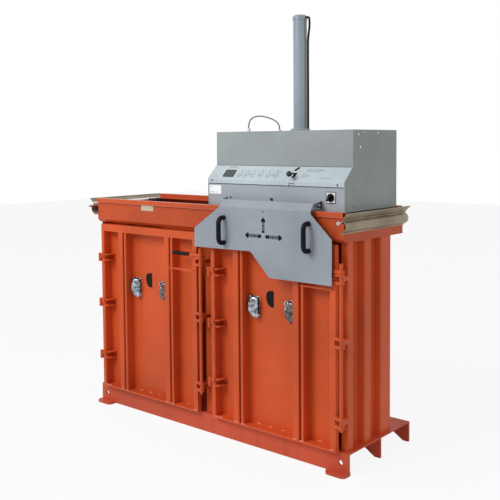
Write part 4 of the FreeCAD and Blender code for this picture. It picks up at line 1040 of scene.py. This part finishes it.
# The gate's slots are a thin black sheet: painted shade in the openings.
gate_shade = []
for (u, v), (w, t), wide in (((490, 64), (503, 80), 13), ((497, 22), (504, 46), 14)):
    half = math.hypot(w - u, t - v) / 2 + 4
    angle = math.degrees(math.atan2(t - v, w - u))
    end = soft_box(-half, half, -wide / 2, wide / 2, wide / 2 - 0.5)
    gate_shade += turned_outline([end], angle, ((u + w) / 2, (v + t) / 2))
cut_sheet("lever_gate_shade", gate_shade, 0.4, slope_face(), "head", ink_and_shade, ("lever_socket",))
print(len(signs), "strokes")

# %% [markdown]
# The display is a dark glass with round corners in the slope. Below the slope the sheet folds
# down into a lip with a notch, which a plate closes from behind. The shadows in the seam under
# the lip, round the notch and along its two slits are hairlines, so dark strips draw them.

# %% Display, seam and notch of the panel
SEAM_SHADOW = (1221.6, 1224.0)  # Z of its edges
LINE = 1.4  # width of the dark lines

glass = plate_mesh("display_glass", [soft_box(84, 150, 13, 58, 5)], 3.5, slope_face(-0.5))
glass_finish = moulded("display_glass", shade(52, 60, 60), 0.2, 300, FINE_DEPTH)
piece("display_glass", glass, "head", glass_finish, 0.0012,
      stands_for=("display",))
# Dark strips: painted shadows in the seam under the lip, round the notch and along its slits.
seam_shadow = [(4, SEAM_SHADOW[0]), (777, SEAM_SHADOW[0]), (777, SEAM_SHADOW[1]), (4, SEAM_SHADOW[1])]
cut_sheet("panel_seam_shadow", [seam_shadow], 0.3, front_plane(HEAD_FRONT + 0.1), "head", ink_and_shade)
backing = [(482, 1224), (522, 1224), (522, 1240), (482, 1240)]
cut_sheet("notch_backing", [backing], 1.5, front_plane(HEAD_FRONT + 4.5), "head",
          coats["panel_paint"])
notch_edge_shadows = [((487, 1224), (487, 1235)), ((517, 1224), (517, 1235)), ((487, 1235), (517, 1235))]
cut_sheet("notch_shadow_lines", strokes(notch_edge_shadows, LINE), 0.3, front_plane(HEAD_FRONT), "head", ink_and_shade)
slit_shadows = [((488, 0), (493, 19)), ((517, 0), (508, 22))]
cut_sheet("notch_slit_shadows", strokes(slit_shadows, LINE), 0.3, slope_face(), "head", ink_and_shade)
print("display is 66 mm wide")

# %% [markdown]
# The label at the left below the panel carries a few faint lines. They are the same thin strips
# as the pictograms, so the label needs no image.

# %% Faint lines on the label
print_lines = [((12, 1207), (20, 1207)), ((12, 1203), (17, 1203)), ((24, 1207), (30, 1207)),
               ((12, 1181), (40, 1181)), ((46, 1181), (62, 1181))]
cut_sheet("label_print", strokes(print_lines, 1.6), 0.2, front_plane(HEAD_FRONT), "head", grey_ink)
print("label carries", len(print_lines), "faint lines")

# %% [markdown]
# ## Screws
# A screw's head is a low dome with a socket. One profile serves them all: it is drawn for a
# radius of one and scaled. The screws of one face and finish are one piece. The two on the
# cover stand 2 mm off its sheet.

# %% Screws of the head
screw = [(0, 0), (1, 0), (1, 0.28), (0.8, 0.5), (0.45, 0.6), (0.4, 0.4), (0, 0.4)]


def screws(name, finish, body, places, out=(0, -1, 0)):
    """Round heads of given radii in one piece."""
    heads = [turned_mesh("screw", [(r * radius, h * radius) for r, h in screw],
                         facing(spot(*place), out), 20) for place, radius in places]
    return piece(name, joined_mesh(name, heads), body, finish)


bright = [((HEAD_SIDE, 116, 1446), 5), ((HEAD_SIDE, 161, 1455), 4),
          ((HEAD_SIDE, 272, 1453), 5), ((HEAD_SIDE, 129, 1392), 6)]
painted = [((HEAD_SIDE, 82, 1211), 4.5), ((HEAD_SIDE, 74, 1141), 4.5)]
side = screws("side_screws", coats["bare_steel"], "head", bright, (1, 0, 0))
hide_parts("head_bolts")
screws("side_screws_painted", coats["head_paint"], "head", painted, (1, 0, 0))
for name, body, places in (
        ("cover_screws", "head", [((143, HEAD_FRONT, 1160), 4), ((389, HEAD_FRONT, 1160), 6.5)]),
        ("lip_screws", "head", [((26, HEAD_FRONT, 1237), 4), ((745, HEAD_FRONT, 1233), 4)]),
        ("guard_screws", "guard", [((392, GUARD_FRONT, 1108), 3)])):
    screws(name, coats["dark_steel"], body, places)
print(len(bright), "bright screws on the side")

# %% [markdown]
# ## Switch
# The switch sits on its white plate at the right below the panel: a round dial with a raised
# pointer, which turns, inside a printed frame, which stays. The two white marks lie within the
# cover's sheet, so they don't show.

# %% Selector knob and switch marks
POINTER_TURN = 148  # degrees, as the photograph shows it

turn = face_x(spot(711, HEAD_FRONT - 0.4, 1179))
pointer = turned_outline([soft_box(-4.5, 4.5, -16, 17, 4.4)], POINTER_TURN, (0, 0))
knob = joined_mesh("selector", [
    turned_mesh("dial", [(0, 0), (18, 0), (18, 3), (16.5, 5), (0, 5)], turn),
    plate_mesh("pointer", pointer, 19.5, turn)])
piece("selector", knob, "selector", coats["black_plastic"], 0.001,
      stands_for=("selector_knob",))
frame_bars = strokes(box_lines(687.5, 1155.5, 47, 47), 2.6)
cut_sheet("switch_frame", frame_bars, 0.3, front_plane(HEAD_FRONT - 0.1), "head", ink_and_shade)
dots = [soft_box(706, 716, 1208, 1214, 2.5), soft_box(707, 715, 1141, 1148, 3)]
cut_sheet("switch_marks", dots, 0.4, front_plane(HEAD_FRONT + 5), "head", coats["white_plastic"])
print("switch is", len(knob.polygons), "faces")
